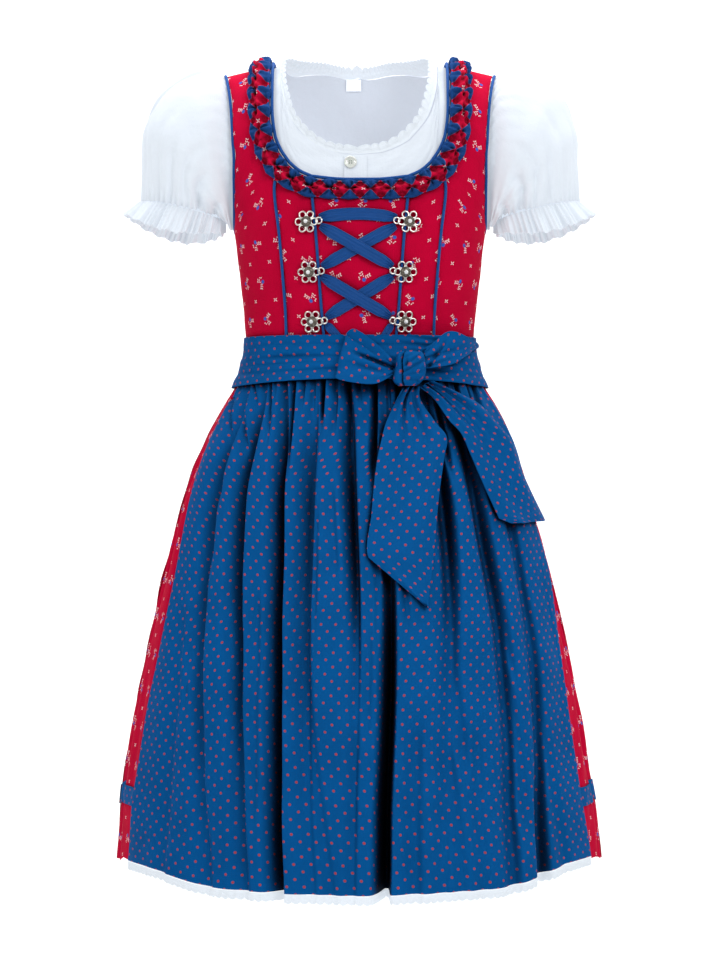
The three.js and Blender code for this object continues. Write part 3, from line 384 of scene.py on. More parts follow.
def toLinear(hexColour):
    srgb = [int(hexColour[k:k + 2], 16) / 255 for k in (1, 3, 5)]
    return [c / 12.92 if c <= 0.04045 else ((c + 0.055) / 1.055) ** 2.4 for c in srgb] + [1.0]

def addNode(material, kind, inputs=None, out=0, **settings):  # returns the socket named or numbered by out
    node = material.node_tree.nodes.new("ShaderNode" + kind)
    for name, value in settings.items():
        setattr(node, name, value)
    for key, value in (inputs or {}).items():
        if isinstance(value, bpy.types.NodeSocket):
            material.node_tree.links.new(value, node.inputs[key])
        else:
            node.inputs[key].default_value = value
    return node.outputs[out]

def newMaterial(name, **shader):
    material = bpy.data.materials.new(name)
    material.use_nodes = True
    principled = material.node_tree.nodes["Principled BSDF"]
    for key, value in shader.items():
        principled.inputs[key.replace("_", " ")].default_value = value
    return material, principled

def feed(material, principled, **sockets):
    for key, socket in sockets.items():
        material.node_tree.links.new(socket, principled.inputs[key.replace("_", " ")])

def clothCoordinates(material, turn=0.0):  # the cloth's own millimetres
    uv = addNode(material, "UVMap", uv_map="clothMm")
    return addNode(material, "Mapping", {"Vector": uv, "Rotation": (0, 0, turn)}) if turn else uv

def weaveBump(material, uv, threadMm, strength, crinkleMm=9.0, crinkle=0.35):
    # plain weave: warp and weft sine bands, over a faint crinkle; a wave band is 0.314 mm long at scale 1
    bandScale = 0.31416 / (2 * threadMm)
    warp = addNode(material, "TexWave", {"Vector": uv, "Scale": bandScale}, out="Fac", bands_direction="X")
    weft = addNode(material, "TexWave", {"Vector": uv, "Scale": bandScale}, out="Fac", bands_direction="Y")
    woven = addNode(material, "Math", {0: warp, 1: weft}, operation="MAXIMUM")
    noise = addNode(material, "TexNoise", {
        "Vector": uv, "Scale": 1 / crinkleMm, "Detail": 4.0, "Roughness": 0.6})
    creased = addNode(material, "Bump", {"Height": noise, "Strength": crinkle, "Distance": 0.0012})
    return addNode(material, "Bump", {
        "Height": woven, "Strength": strength, "Distance": 0.0003, "Normal": creased})

def shadeVariation(material, uv, colour, sizeMm, low, high):
    # yarns take the dye unevenly: the colour wanders a little from lighter to darker
    cloud = addNode(material, "TexNoise", {"Vector": uv, "Scale": 1 / sizeMm, "Detail": 3.0})
    value = addNode(material, "MapRange", {
        "Value": cloud, "From Min": 0.3, "From Max": 0.7, "To Min": low, "To Max": high})
    return addNode(material, "HueSaturation", {"Color": colour, "Value": value})

def paintedFoldShade(material, shadeReachMm, darkestShade):  # painted shade: 1 on the open cloth, down to this dark where ambient occlusion finds the cloth shut in by its folds
    free = addNode(material, "AmbientOcclusion", {"Distance": shadeReachMm * mm}, out="AO", samples=6)
    return addNode(material, "MapRange", {
        "Value": free, "From Min": 0.38, "From Max": 0.9, "To Min": darkestShade})

def shadeFolds(material, colour, shadeReachMm, darkestShade):
    # painted shade: the colour is darkened deep in the folds, where little light gets in
    return addNode(material, "HueSaturation", {
        "Color": colour, "Value": paintedFoldShade(material, shadeReachMm, darkestShade)})

colourMix = dict(out=2, data_type="RGBA")  # a Mix node for colours: inputs 6 and 7, output 2

def cellsOf(material, uv, widthMm, heightMm, offset=(0.0, 0.0)):
    # where a point lies in its cell of a repeat, in mm from the cell's middle, and the cell's own number
    cell = addNode(material, "Mapping", {
        "Vector": uv, "Location": (offset[0], offset[1], 0), "Scale": (1 / widthMm, 1 / heightMm, 1)})
    whole = addNode(material, "VectorMath", {0: cell}, operation="FLOOR")
    part = addNode(material, "VectorMath", {0: cell}, operation="FRACTION")
    middle = addNode(material, "VectorMath", {0: part, 1: (0.5, 0.5, 0)}, operation="SUBTRACT")
    size = (widthMm, heightMm, 0)
    return addNode(material, "VectorMath", {0: middle, 1: size}, operation="MULTIPLY"), whole

def blob(material, place, centre, radii, turn=0.0, soft=0.25):
    # 1 inside an ellipse of these radii in mm, with a soft printed edge
    local = addNode(material, "Mapping", {
        "Vector": place, "Location": (centre[0], centre[1], 0), "Rotation": (0, 0, turn),
        "Scale": (radii[0], radii[1], 1)}, vector_type="TEXTURE")
    flat = addNode(material, "VectorMath", {0: local, 1: (1, 1, 0)}, operation="MULTIPLY")
    away = addNode(material, "VectorMath", {0: flat}, out="Value", operation="LENGTH")
    return addNode(material, "MapRange", {"Value": away, "From Min": 1 + soft, "From Max": 1 - soft})

def highest(material, values):
    top = values[0]
    for value in values[1:]:
        top = addNode(material, "Math", {0: top, 1: value}, operation="MAXIMUM")
    return top

def dottedCotton(name, shadeReachMm, darkestShade):
    # printed cotton sateen: a smooth satin face that gives soft broad lights, small woven dots
    look = dict(blue="#005394", dot="#b5433f", dotMm=1.02, acrossMm=13.4, downMm=12.2, threadMm=0.9)
    material, shader = newMaterial(name, Roughness=0.75, Specular_IOR_Level=0.06)
    uv = clothCoordinates(material)
    dots = []
    for offset in ((0, 0), (0.5, 0.5)):  # a second set of dots stands half a repeat away
        spot, _ = cellsOf(material, uv, look["acrossMm"], look["downMm"], offset)
        dots.append(blob(material, spot, (0, 0), (look["dotMm"],) * 2, soft=0.4))
    ground = shadeVariation(material, uv, toLinear(look["blue"]), 40, 0.93, 1.07)
    dotted = {"Factor": highest(material, dots), 6: ground, 7: toLinear(look["dot"])}
    colour = addNode(material, "Mix", dotted, **colourMix)
    # painted shade: the cloth is darkened in its folds
    colour = shadeFolds(material, colour, shadeReachMm, darkestShade)
    feed(material, shader, Base_Color=colour, Normal=weaveBump(material, uv, look["threadMm"], 0.25))
    return material

def sprigColour(material, uv):  # a scattered sprig of leaves with one flower, and a little cross between
    look = dict(red="#c40134", leaf="#f2d3d9", bud="#3d5fbd", acrossMm=25.5, downMm=33.5)
    spot, number = cellsOf(material, uv, look["acrossMm"], look["downMm"])
    chance = addNode(material, "TexWhiteNoise", {"Vector": number}, out="Value", noise_dimensions="2D")
    quarter = addNode(material, "Math", {0: chance, 1: 4.0}, operation="MULTIPLY")
    quarter = addNode(material, "Math", {0: quarter}, operation="FLOOR")
    turn = addNode(material, "Math", {0: quarter, 1: pi / 2 + 0.25}, operation="MULTIPLY")
    turned = addNode(material, "VectorRotate", {"Vector": spot, "Angle": turn}, rotation_type="Z_AXIS")
    leaves = table(  # two arms of small leaves: place, half length, half width and turn
        "x y long wide turn",
        (-4.4, 4.2, 1.0, 0.5, 0.5), (-3.0, 5.0, 0.95, 0.45, 1.6), (-3.1, 2.9, 1.0, 0.45, -0.4),
        (-1.6, 3.6, 0.95, 0.45, 1.2), (-1.9, 1.5, 0.9, 0.42, -0.3), (-0.5, 2.0, 0.8, 0.4, 1.0),
        (-4.2, -3.0, 1.0, 0.48, -0.7), (-2.7, -4.2, 0.95, 0.45, -1.5), (-2.8, -1.7, 0.95, 0.45, 0.2),
        (-1.3, -2.8, 0.9, 0.45, -1.1), (-1.3, -0.5, 0.75, 0.35, 0.0), (0.8, -3.9, 0.9, 0.45, 0.7),
        (2.2, -3.0, 0.8, 0.4, -0.3),
    )
    columns = [leaves[key].tolist() for key in ("x", "y", "long", "wide", "turn")]
    white = [blob(material, turned, (x, y), (long, wide), angle) for x, y, long, wide, angle in zip(*columns)]
    star, _ = cellsOf(material, uv, look["acrossMm"], look["downMm"], (0.5, 0.5))
    for angle in (0.7, -0.7):
        for side in (-1, 1):
            at = (side * 1.2 * math.cos(angle), side * 1.2 * math.sin(angle))
            white.append(blob(material, star, at, (0.9, 0.42), angle))
    ground = shadeVariation(material, uv, toLinear(look["red"]), 30, 0.94, 1.05)
    leafy = {"Factor": highest(material, white), 6: ground, 7: toLinear(look["leaf"])}
    leafy = addNode(material, "Mix", leafy, **colourMix)
    bud = blob(material, turned, (1.6, 0.8), (1.75, 1.6))
    return addNode(material, "Mix", {"Factor": bud, 6: leafy, 7: toLinear(look["bud"])}, **colourMix)

def printedCotton():
    # fine poplin with a screen-printed sprig: matt, slightly fuzzy, the print lies flush
    material, shader = newMaterial("printedCottonPoplin", Roughness=0.9, Specular_IOR_Level=0.06)
    uv = clothCoordinates(material)
    # painted shade: the print is darkened in the folds
    colour = shadeFolds(material, sprigColour(material, uv), 12.0, 0.35)
    feed(material, shader, Base_Color=colour, Normal=weaveBump(material, uv, 0.9, 0.3))
    return material

def plainCloth(name, hexColour, roughness, threadMm, strength, sheen=0.0, crinkle=0.3, glow=0.0, shut=0.6,
               variation=0.05):
    material, shader = newMaterial(name, Roughness=roughness, Sheen_Weight=sheen, Specular_IOR_Level=0.12)
    uv = clothCoordinates(material)
    ground = shadeVariation(material, uv, toLinear(hexColour), 25, 1 - variation, 1 + variation)
    if glow:  # painted light: the white cloth glows faintly bluish by emission, which flattens its shading, and the glow is dimmed in its folds as painted shade
        shader.inputs["Emission Color"].default_value = (0.9, 0.96, 1.0, 1.0)
        free = paintedFoldShade(material, 14.0, shut)
        glowing = addNode(material, "Math", {0: free, 1: glow}, operation="MULTIPLY")
        feed(material, shader, Emission_Strength=glowing)
    weave = weaveBump(material, uv, threadMm, strength, crinkle=crinkle)
    feed(material, shader, Base_Color=ground, Normal=weave)
    return material

redPrint = printedCotton()
dottedBlue = dottedCotton("dottedCottonSateen", 24.0, 0.04)
# the same cloth wound and tied, with its painted fold shade reaching only 5 mm and going darker, so only its
# small tight folds are darkened
tiedBlue = dottedCotton("dottedCottonTied", 5.0, 0.02)
# bias-cut cotton: matt, threads run aslant
blueBinding = plainCloth("blueBiasCotton", "#1f5096", 0.7, 0.7, 0.4)
# crisp, with a soft gloss
blueRibbon = plainCloth("blueTaffetaRibbon", "#174c90", 0.45, 0.6, 0.5, sheen=0.05)
# thin and slightly crumpled, as washed batiste stays; a grey ground under a painted glow gives its flat white
batiste = plainCloth("whiteBatiste", "#a7aeb9", 0.85, 0.7, 0.2, crinkle=0.7, glow=0.5, variation=0.02)
# painted shade: a copy of the batiste for its inside faces, a little greyer and with less painted glow
batisteShadedInside = plainCloth(
    "whiteBatisteShadedInside", "#a5abb9", 0.85, 0.7, 0.2, crinkle=0.7, glow=0.4, variation=0.02)
# matt cotton yarn, with a deeper grain than woven cloth; a grey ground under a painted glow gives its white
cottonLace = plainCloth(
    "whiteCottonLace", "#a9b0bb", 0.9, 0.8, 0.6, crinkle=0.8, glow=0.54, shut=0.9, variation=0.02)
sewingThread = plainCloth("sewingThread", "#7d8680", 0.8, 0.4, 0.2)  # matt cotton thread; its grey is partly the thread's own and partly painted shade of the button's holes
# smooth, and made bright by a painted glow
labelSatin = plainCloth("labelSatin", "#e6e8ec", 0.35, 0.4, 0.2, glow=0.45, variation=0.01)

def pearlButton():
    # mother of pearl: pale, glossy, with faint green and pink clouds
    material, shader = newMaterial(
        "motherOfPearl", Roughness=0.22, Coat_Weight=0.5, Coat_Roughness=0.1, IOR=1.53)
    where = addNode(material, "TexCoord", out="Object")
    cloud = addNode(material, "TexNoise", {"Vector": where, "Scale": 420.0, "Detail": 3.0, "Distortion": 1.5})
    shades = {"Factor": cloud, 6: toLinear("#cfe0cf"), 7: toLinear("#eee6ea")}
    shades = addNode(material, "Mix", shades, **colourMix)
    feed(material, shader, Base_Color=shades)
    return material

def agedSilver():
    # antique silver plate: bright on the raised wire, dark in the hollows where the blackening stays
    material, shader = newMaterial("agedSilver", Metallic=1.0, Roughness=0.3)
    where = addNode(material, "TexCoord", out="Object")
    near = addNode(material, "AmbientOcclusion", {"Distance": 0.003}, out="AO", samples=8)
    grime = addNode(material, "TexNoise", {"Vector": where, "Scale": 700.0, "Detail": 4.0})
    kept = addNode(material, "Math", {0: near, 1: grime}, operation="MULTIPLY")
    bright = addNode(material, "MapRange", {"Value": kept, "From Min": 0.1, "From Max": 0.36})
    shades = {"Factor": bright, 6: toLinear("#3a3732"), 7: toLinear("#f7f5f0")}
    feed(material, shader, Base_Color=addNode(material, "Mix", shades, **colourMix))
    return material

pearl = pearlButton()
silver = agedSilver()
# the middle ball, of polished silver plate, with its reflection painted: a nearly white, barely metallic
# finish stands in for the bright studio it mirrors
ballPaintedReflection, _ = newMaterial("silverBallPaintedReflection", Base_Color=toLinear("#f4f7f8"), Metallic=0.1, Roughness=0.15)
# blackened silver in the rosette: dark and half dull, with the light only on its grains
blackened, _ = newMaterial("blackenedSilver", Base_Color=toLinear("#7c776d"), Metallic=0.9, Roughness=0.38)
print("materials made")

# Seam lines of the dress, on the wearer's left half.

fine = 6  # rows of the fine cloth for each row of the solid

neckline = [
    place(0, -113), place(21, -112.6), place(43, -110), place(54.5, -104.6), place(63.6, -96.8),
    place(72.3, -83.5), place(78.8, -58.5), place(79.8, -30), crest(neckX),
]
backNeckline = [crest(neckX, True), behind(76, -12), behind(60, -23), behind(32, -29), behind(0, -30)]
armholeFront = [
    atSide(underarmZ), place(111.6, -138), place(110.8, -107), place(110.6, -83), place(112.3, -57),
    place(115, -30), crest(shoulderX),
]
armholeBack = [
    atSide(underarmZ), behind(112, -138), behind(112.6, -107), behind(113, -83), behind(114, -57),
    behind(116, -30), crest(shoulderX, True),
]
innerSeam = [place(31, waistZ), place(34, -220), place(38.5, -160), place(42, -125), place(43, -110)]
outerSeam = [
    place(65, waistZ), place(67, -200), place(71.5, -150), place(75, -118), place(71.5, -104),
    place(63.6, -96.8),
]
innerEdge = sampled(innerSeam, 6 * fine)
outerEdge = sampled(outerSeam, 6 * fine)
sideEdge = sampled([atSide(waistZ), atSide(-200), atSide(underarmZ)], 4 * fine)
armholeFrontEdge = sampled(armholeFront, 7 * fine)
armholeBackEdge = sampled(armholeBack, 7 * fine)
centreNeck = sampled(bothSides(neckline[:3]), 6 * fine)
frontNeck = sampled(neckline[2:5], 4 * fine)
strapNeck = sampled(neckline[4:], 5 * fine)
backNeck = sampled(backNeckline, 5 * fine)
# each side's sign and name, and what takes a line of the left half there
wearerSides = [(1, "left", np.asarray), (-1, "right", mirrored)]

# The bodice.

bodice = dict(thick=1.1, wrinkle=0.35, seamPull=0.9, seamReach=5.0)

def bodicePanel(name, node, foot, top, left, right, reach=1.0, topSeam=0.0, seed=1):
    places = patch(foot, top, left, right, reach)
    flat = onForm(places)
    uv = clothUv(flat)
    acrossEdge = np.minimum(uv[..., 0] - uv[:, :1, 0], uv[:, -1:, 0] - uv[..., 0])
    # the cloth dips into the seams and puckers a little along them
    dip = bodice["seamPull"] * np.exp(-acrossEdge / bodice["seamReach"])
    pucker = 0.25 * np.exp(-acrossEdge / 7) * np.sin(uv[..., 1] / 2.1 + 1.7 * np.sin(uv[..., 1] / 9 + seed))
    lift = bodiceLift - dip + pucker + bodice["wrinkle"] * ripple(uv[..., 0], uv[..., 1], seed)
    grid = pulledIn(onForm(places, lift), top=topSeam, left=seamGap, right=seamGap)
    uv = uv + [seed * 11.7, seed * 17.3]
    piece = shell(name, grid, uv, [redPrint, redPrint], bodice["thick"])
    return finishPiece(piece, [node], cutOf(grid))

def makeBodice():
    bodicePanel(
        "bodiceCentreFront", "bodice_centre_front",
        sampled(bothSides([place(0, waistZ), place(16, waistZ), place(31, waistZ)]), 6 * fine), centreNeck,
        mirrored(innerEdge), innerEdge, seed=3)
    for side, wearer, turned in wearerSides:
        bodicePanel(
            f"bodiceSideFront.{wearer}", f"bodice_side_front_{wearer}",
            turned(sampled([place(31, waistZ), place(48, waistZ), place(65, waistZ)], 4 * fine)),
            turned(frontNeck), turned(innerEdge), turned(outerEdge), seed=5 + side)
        bodicePanel(
            f"bodiceSide.{wearer}", f"bodice_side_{wearer}",
            turned(sampled([place(65, waistZ), place(90, waistZ), atSide(waistZ)], 4 * fine)),
            turned(sampled([crest(neckX), crest(100), crest(shoulderX)], 4 * fine)),
            turned(chain(outerEdge, strapNeck)), turned(chain(sideEdge, armholeFrontEdge)),
            topSeam=shoulderGap, seed=8 + side)
        backShoulder = [crest(neckX, True), crest(100, True), crest(shoulderX, True)]
        bodicePanel(
            f"bodiceBack.{wearer}", f"bodice_back_{wearer}",
            turned(sampled([behind(0, waistZ), behind(60, waistZ), atSide(waistZ)], 7 * fine)),
            turned(chain(backNeck[::-1], sampled(backShoulder, 2 * fine))),
            turned(sampled([behind(0, waistZ), behind(0, -150), behind(0, -30)], 11 * fine)),
            turned(chain(sideEdge, armholeBackEdge)), reach=1.5, topSeam=shoulderGap, seed=11 + side)

# Pipings and bindings.

def frames(places, lift, closed=False):  # at each place: the point, the way out, and the way across the line
    points = onForm(places, lift)
    ahead = np.roll(points, -1, 0) - np.roll(points, 1, 0) if closed else np.gradient(points, axis=0)
    out = unit(onForm(places, np.asarray(lift) + 1) - points)
    return points, out, unit(np.cross(out, ahead))

def trim(name, places, lift, outline, material, closed=False):
    points, out, across = frames(places, lift, closed)
    outline = np.asarray(outline)
    rings = points[:, None] + across[:, None] * outline[None, :, :1] + out[:, None] * outline[None, :, 1:]
    return tube(name, rings, [material], closed)

piping = dict(wide=2.6, high=1.35, cordRadius=1.3, bindingRadius=1.5, cordGap=0.6)

def ribOutline():
    turns = np.linspace(0, pi, 9)
    return [(piping["wide"] / 2 * math.cos(t), piping["high"] * math.sin(t) ** 0.7) for t in turns]

def cordOutline(radius, aside):
    turns = np.arange(12) / 12 * 2 * pi
    return np.stack([aside + radius * np.cos(turns), radius * np.sin(turns)], -1)

def makePipings():
    piped = 5 * fine + 3  # up to where the ruche covers them
    for side, wearer, turned in wearerSides:
        for seam, edge in (("inner", innerEdge), ("outer", outerEdge)):
            rib = trim(f"piping.{seam}.{wearer}", turned(edge[:piped]), trimLift - 0.35, ribOutline(),
                       blueBinding)
            finishPiece(rib, [f"piping_{seam}_{wearer}"])
        armhole = chain(armholeFrontEdge, armholeBackEdge[::-1])[1:]
        aside = -side * (piping["cordRadius"] + piping["cordGap"])
        cord = trim(f"armholePiping.{wearer}", turned(armhole), 0.8, cordOutline(piping["cordRadius"], aside),
                    blueBinding, True)
        finishPiece(cord, [f"armhole_piping_{wearer}"])
    neckHalf = chain(centreNeck[3 * fine:], frontNeck, strapNeck, backNeck)
    radius = piping["bindingRadius"]
    outline = cordOutline(radius, radius + piping["cordGap"])
    binding = trim("neckBinding", allRound(neckHalf), 0.8, outline, blueBinding, True)
    finishPiece(binding, ["neck_binding"])

# The ruche of pinched box pleats, red outside and blue inside.

ruche = dict(pitch=18.0, perUnit=18, across=26, low=2.3, lip=4.2, puff=2.8, pocket=4.4)
rucheInner = [
    place(0, -113.4), place(21, -113), place(43.2, -110.4), place(54.8, -105), place(64, -97.1),
    place(72.8, -83.6), place(79.2, -58.5), place(80.2, -30), crest(80.4), overShoulder(80.6, -9),
]
rucheOuter = [
    place(0, -129.5), place(22, -129.5), place(47, -127), place(64, -119.5), place(77.5, -108.5),
    place(89, -90), place(96, -60), place(98, -30), crest(98.5), overShoulder(98.5, -13),
]

def rucheMaterial():
    # printed cotton pleats faced with plain blue: each pleat opens in a red diamond with pale folded edges
    look = dict(blue="#17427f", edge="#405d92", edgeWidth=0.05)
    material, shader = newMaterial("rucheCotton", Roughness=0.85, Specular_IOR_Level=0.1)
    uv = clothCoordinates(material)
    spot, _ = cellsOf(material, uv, ruche["pitch"], 40.0, (0.5, 0.5))
    perDiamond = (1.84 / ruche["pitch"], 0.086, 0)
    away = addNode(material, "VectorMath", {0: spot, 1: perDiamond}, operation="MULTIPLY")
    away = addNode(material, "VectorMath", {0: away}, operation="ABSOLUTE")
    parts = [addNode(material, "SeparateXYZ", {0: away}, out=axis) for axis in (0, 1)]
    parts = [addNode(material, "Math", {0: part, 1: 0.85}, operation="POWER") for part in parts]
    diamond = addNode(material, "Math", {0: parts[0], 1: parts[1]}, operation="ADD")
    blue = addNode(material, "MapRange", {"Value": diamond, "From Min": 1.02, "From Max": 1.1})
    fromEdge = addNode(material, "Math", {0: diamond, 1: 1.05}, operation="SUBTRACT")
    fromEdge = addNode(material, "Math", {0: fromEdge}, operation="ABSOLUTE")
    edge = addNode(material, "MapRange", {"Value": fromEdge, "From Min": look["edgeWidth"], "From Max": 0.02})
    faced = {"Factor": blue, 6: sprigColour(material, uv), 7: toLinear(look["blue"])}
    edged = {"Factor": edge, 6: addNode(material, "Mix", faced, **colourMix), 7: toLinear(look["edge"])}
    # painted shade in the pockets and folds between the pleats
    colour = shadeFolds(material, addNode(material, "Mix", edged, **colourMix), 8.0, 0.03)
    feed(material, shader, Base_Color=colour, Normal=weaveBump(material, uv, 0.9, 0.3))
    return material

def makeRuche():
    inner, outer = bothSides(rucheInner), bothSides(rucheOuter)
    # the two edges are walked together, in even steps of the line between them
    walk = np.linspace(0, 1, 600)
    middle = onForm(through((inner + outer) / 2, walk))
    way = np.pad(np.linalg.norm(np.diff(middle, axis=0), axis=1).cumsum(), (1, 0))
    units = round(way[-1] / ruche["pitch"])
    spans = units * ruche["perUnit"]
    even = np.interp(np.linspace(0, way[-1], spans + 1), way, walk)
    inner, outer = through(inner, even), through(outer, even)
    repeats = np.arange(spans + 1) / ruche["perUnit"]
    number = np.floor(repeats + 1e-6)[:, None]
    s = (repeats % 1 - 0.5)[:, None] * 2  # 0 at the middle of a red pleat, 1 at the blue pockets
    t = np.linspace(-1, 1, ruche["across"] + 1)[None, :]
    uneven = np.sin(number * 12.9898)
    diamond = np.abs(s * 0.92) ** 0.85 + np.abs(t * 0.86) ** 0.85
    red = smooth(diamond, 1.12, 0.9)
    turn = np.arctan2(t + 0.12 * np.sin(number * 7.3), s + 0.2 * uneven)
    creases = 1.7 * np.cos(5 * turn + uneven * 3) * smooth(diamond, 0.1, 0.55)
    pinch = 3.0 * np.exp(-((t - 0.15 * uneven) / 0.16) ** 2) * smooth(np.abs(s), 0.75, 0.2)
    pillow = ruche["puff"] * (1 + 0.4 * uneven) * np.clip(1 - diamond, 0, 1) ** 0.5
    hollow = ruche["pocket"] * np.exp(-((np.abs(t) - 0.62) / 0.3) ** 2) * smooth(np.abs(s), 0.35, 0.85)
    tips = 0.9 * np.exp(-((diamond - 1.03) / 0.1) ** 2)
    lift = ruche["low"] + ruche["lip"] + red * (pillow + creases - pinch) + tips - (1 - red) * hollow
    lift = lift - 1.4 * smooth(np.abs(t), 0.86, 1.0)
    lift = np.maximum(lift, ruche["low"] + 0.6)
    swing = 0.04 * np.cos(pi * s) * np.sign(t) * np.abs(t) ** 2 + 0.02 * uneven * t  # the tips stand out
    share = mix(-0.05, 0.97, 0.5 + 0.5 * t) + swing
    places = inner[:, None] * (1 - share[..., None]) + outer[:, None] * share[..., None]
    top, bottom = onForm(places, lift), onForm(places, ruche["low"] + 0 * lift)
    uv = np.stack(np.broadcast_arrays(repeats[:, None] * ruche["pitch"], t * 10.0), -1)
    piece = shell("rucheBand", top, uv, [rucheMaterial()], 1.0)
    points = np.concatenate([top.reshape(-1, 3), bottom.reshape(-1, 3)]) * mm  # the underside lies flat
    piece.data.vertices.foreach_set("co", points.astype(np.float32).ravel())
    piece.data.update()
    finishPiece(piece, ["ruche"], cutOf(top))

makeBodice()
makePipings()
makeRuche()
print("bodice, pipings and ruche made")

# The blouse.

blouseShoulderX = 121.6
blouseNeck = [
    place(0, -87.8), place(24, -85), place(47, -72.5), place(62, -52.5), place(69, -31), place(71.6, -13),
    crest(72.5),
]
blouseBackNeck = [crest(72.5, True), behind(66, 0), behind(45, 2), behind(30, 2), behind(0, 0.5)]
laceTop = [
    place(0, -79.8), place(22.5, -76.8), place(41.5, -66), place(55, -49), place(61.5, -29), place(65, -12),
    crest(67),
]
laceTopBack = [crest(67, True), behind(61, 9.6), behind(46, 12.2), behind(31, 12.6), behind(0, 11.6)]
blouseArmhole = [
    atSide(-149.4), place(115.4, -130), place(115.2, -107), place(115, -83), place(116.3, -57),
    place(118.6, -30), crest(blouseShoulderX),
]
blouseArmholeBack = [
    atSide(-149.4), behind(115.4, -130), behind(116.2, -107), behind(117, -83), behind(118, -57),
    behind(119, -30), crest(blouseShoulderX, True),
]
blouseSide = sampled([atSide(blouseHemZ), atSide(-175), atSide(-149.4)], 2 * fine)
blouseFrontEdge = sampled(blouseArmhole, 6 * fine)
blouseBackEdge = sampled(blouseArmholeBack, 6 * fine)
blouseNeckEdge = sampled(blouseNeck, 5 * fine)
blouseBackNeckEdge = sampled(blouseBackNeck, 5 * fine)
blouse = dict(thick=0.7, wrinkle=0.45)

def blousePiece(name, node, foot, top, left, right, seed):
    places = patch(foot, top, left, right, 3.0)
    uv = clothUv(onForm(places))
    wrinkles = blouse["wrinkle"] * ripple(uv[..., 0], uv[..., 1], seed, long=45)
    lift = blouseLift - 0.35 + np.clip(wrinkles, -0.9, 0.3)
    grid = pulledIn(onForm(places, lift), top=shoulderGap, left=shoulderGap, right=shoulderGap)
    piece = shell(name, grid, uv, [batiste, batisteShadedInside], blouse["thick"])
    return finishPiece(piece, [node], cutOf(grid))

def makeBlouse():
    hem = [place(0, blouseHemZ), place(50, blouseHemZ), atSide(blouseHemZ)]
    right = chain(blouseSide, blouseFrontEdge)
    shoulders = sampled([crest(72.5), crest(blouseShoulderX)], 2 * fine)
    blousePiece("blouseFront", "blouse_front", sampled(bothSides(hem), 14 * fine),
                bothSides(chain(blouseNeckEdge, shoulders)), mirrored(right), right, 21)
    backHem = [behind(0, blouseHemZ), behind(50, blouseHemZ), atSide(blouseHemZ)]
    right = chain(blouseSide, blouseBackEdge)
    backShoulders = sampled([crest(72.5, True), crest(blouseShoulderX, True)], 2 * fine)
    blousePiece("blouseBack", "blouse_back", sampled(acrossBack(backHem), 14 * fine),
                acrossBack(chain(blouseBackNeckEdge[::-1], backShoulders)),
                fromBehind(mirrored(fromBehind(right))), right, 22)

neckLace = dict(scallopMm=7.0, rows=10, perScallop=10, thick=0.8)

def makeNeckLace():
    foot = onForm(allRound(chain(sampled(blouseNeck, 60), sampled(blouseBackNeck, 60))), blouseLift - 0.2)
    top = onForm(allRound(chain(sampled(laceTop, 60), sampled(laceTopBack, 60))), blouseLift - 0.2)
    length = np.linalg.norm(np.diff(top, axis=0, append=top[:1]), axis=1).sum()
    scallops = round(length / neckLace["scallopMm"])
    columns = scallops * neckLace["perScallop"]
    low, high = pickedRound(foot, columns), pickedRound(top, columns)
    low[:, 0] -= 1.2
    high[:, 0] -= 2.8  # the blouse sits a little towards the wearer's right
    # it stands up over the shoulders, most of all in front
    high[:, 2] += 4.6 * np.exp(-(high[:, 1] / 18) ** 2) * smooth(high[:, 1], 16, -6)
    phase = np.arange(columns) / neckLace["perScallop"]
    scallop = np.abs(np.sin(pi * phase))
    v = np.linspace(0.03, 1, neckLace["rows"])[:, None, None]
    reach = 0.76 + 0.33 * scallop[None, :, None] ** 0.7
    grid = low[None] + (high - low)[None] * v * reach
    normal = normalsOf(grid, True)
    up = v[..., 0]
    relief = 0.7 * np.cos(2 * pi * phase)[None] * up**2 + 0.5 * np.sin(up * 14) * (up < 0.7)
    relief = relief + 0.35 * np.cos(4 * pi * phase)[None] * (up > 0.6)
    grid = grid + normal * facing(normal, grid) * (relief * 0.6 - 0.3)[..., None]
    both = [cottonLace, cottonLace]
    piece = shell("neckLace", grid, clothUv(grid, True), both, neckLace["thick"], wrap=True)
    finishPiece(piece, ["neck_lace"])

def strip(name, node, spot, x, z, columns, rows, lift, thick, material):
    grid = np.array([[spot(mix(x[0], x[1], u), mix(z[0], z[1], v)) for u in np.linspace(0, 1, columns + 1)]
                     for v in np.linspace(0, 1, rows + 1)])
    grid = onForm(grid, lift)
    piece = shell(name, grid, clothUv(grid), [material, material], thick)
    return finishPiece(piece, [node], cutOf(grid))

button = dict(x=-8.4, z=-95.3, radius=5.7)

def spotFrame(x, z, lift):  # a point on the form, with its right, up and out directions
    here = onForm([place(x, z)], lift)[0]
    out = unit(onForm([place(x, z)], lift + 1)[0] - here)
    right = unit(np.cross([0, 0, 1], out))
    return here, np.stack([right, np.cross(out, right), out])

def turnedBody(outline, sides):  # a solid of revolution about its own Z
    turns = np.arange(sides) / sides * 2 * pi
    rings = [[(r * math.cos(t), r * math.sin(t), h) for t in turns] for r, h in outline]
    return ringBody(rings)

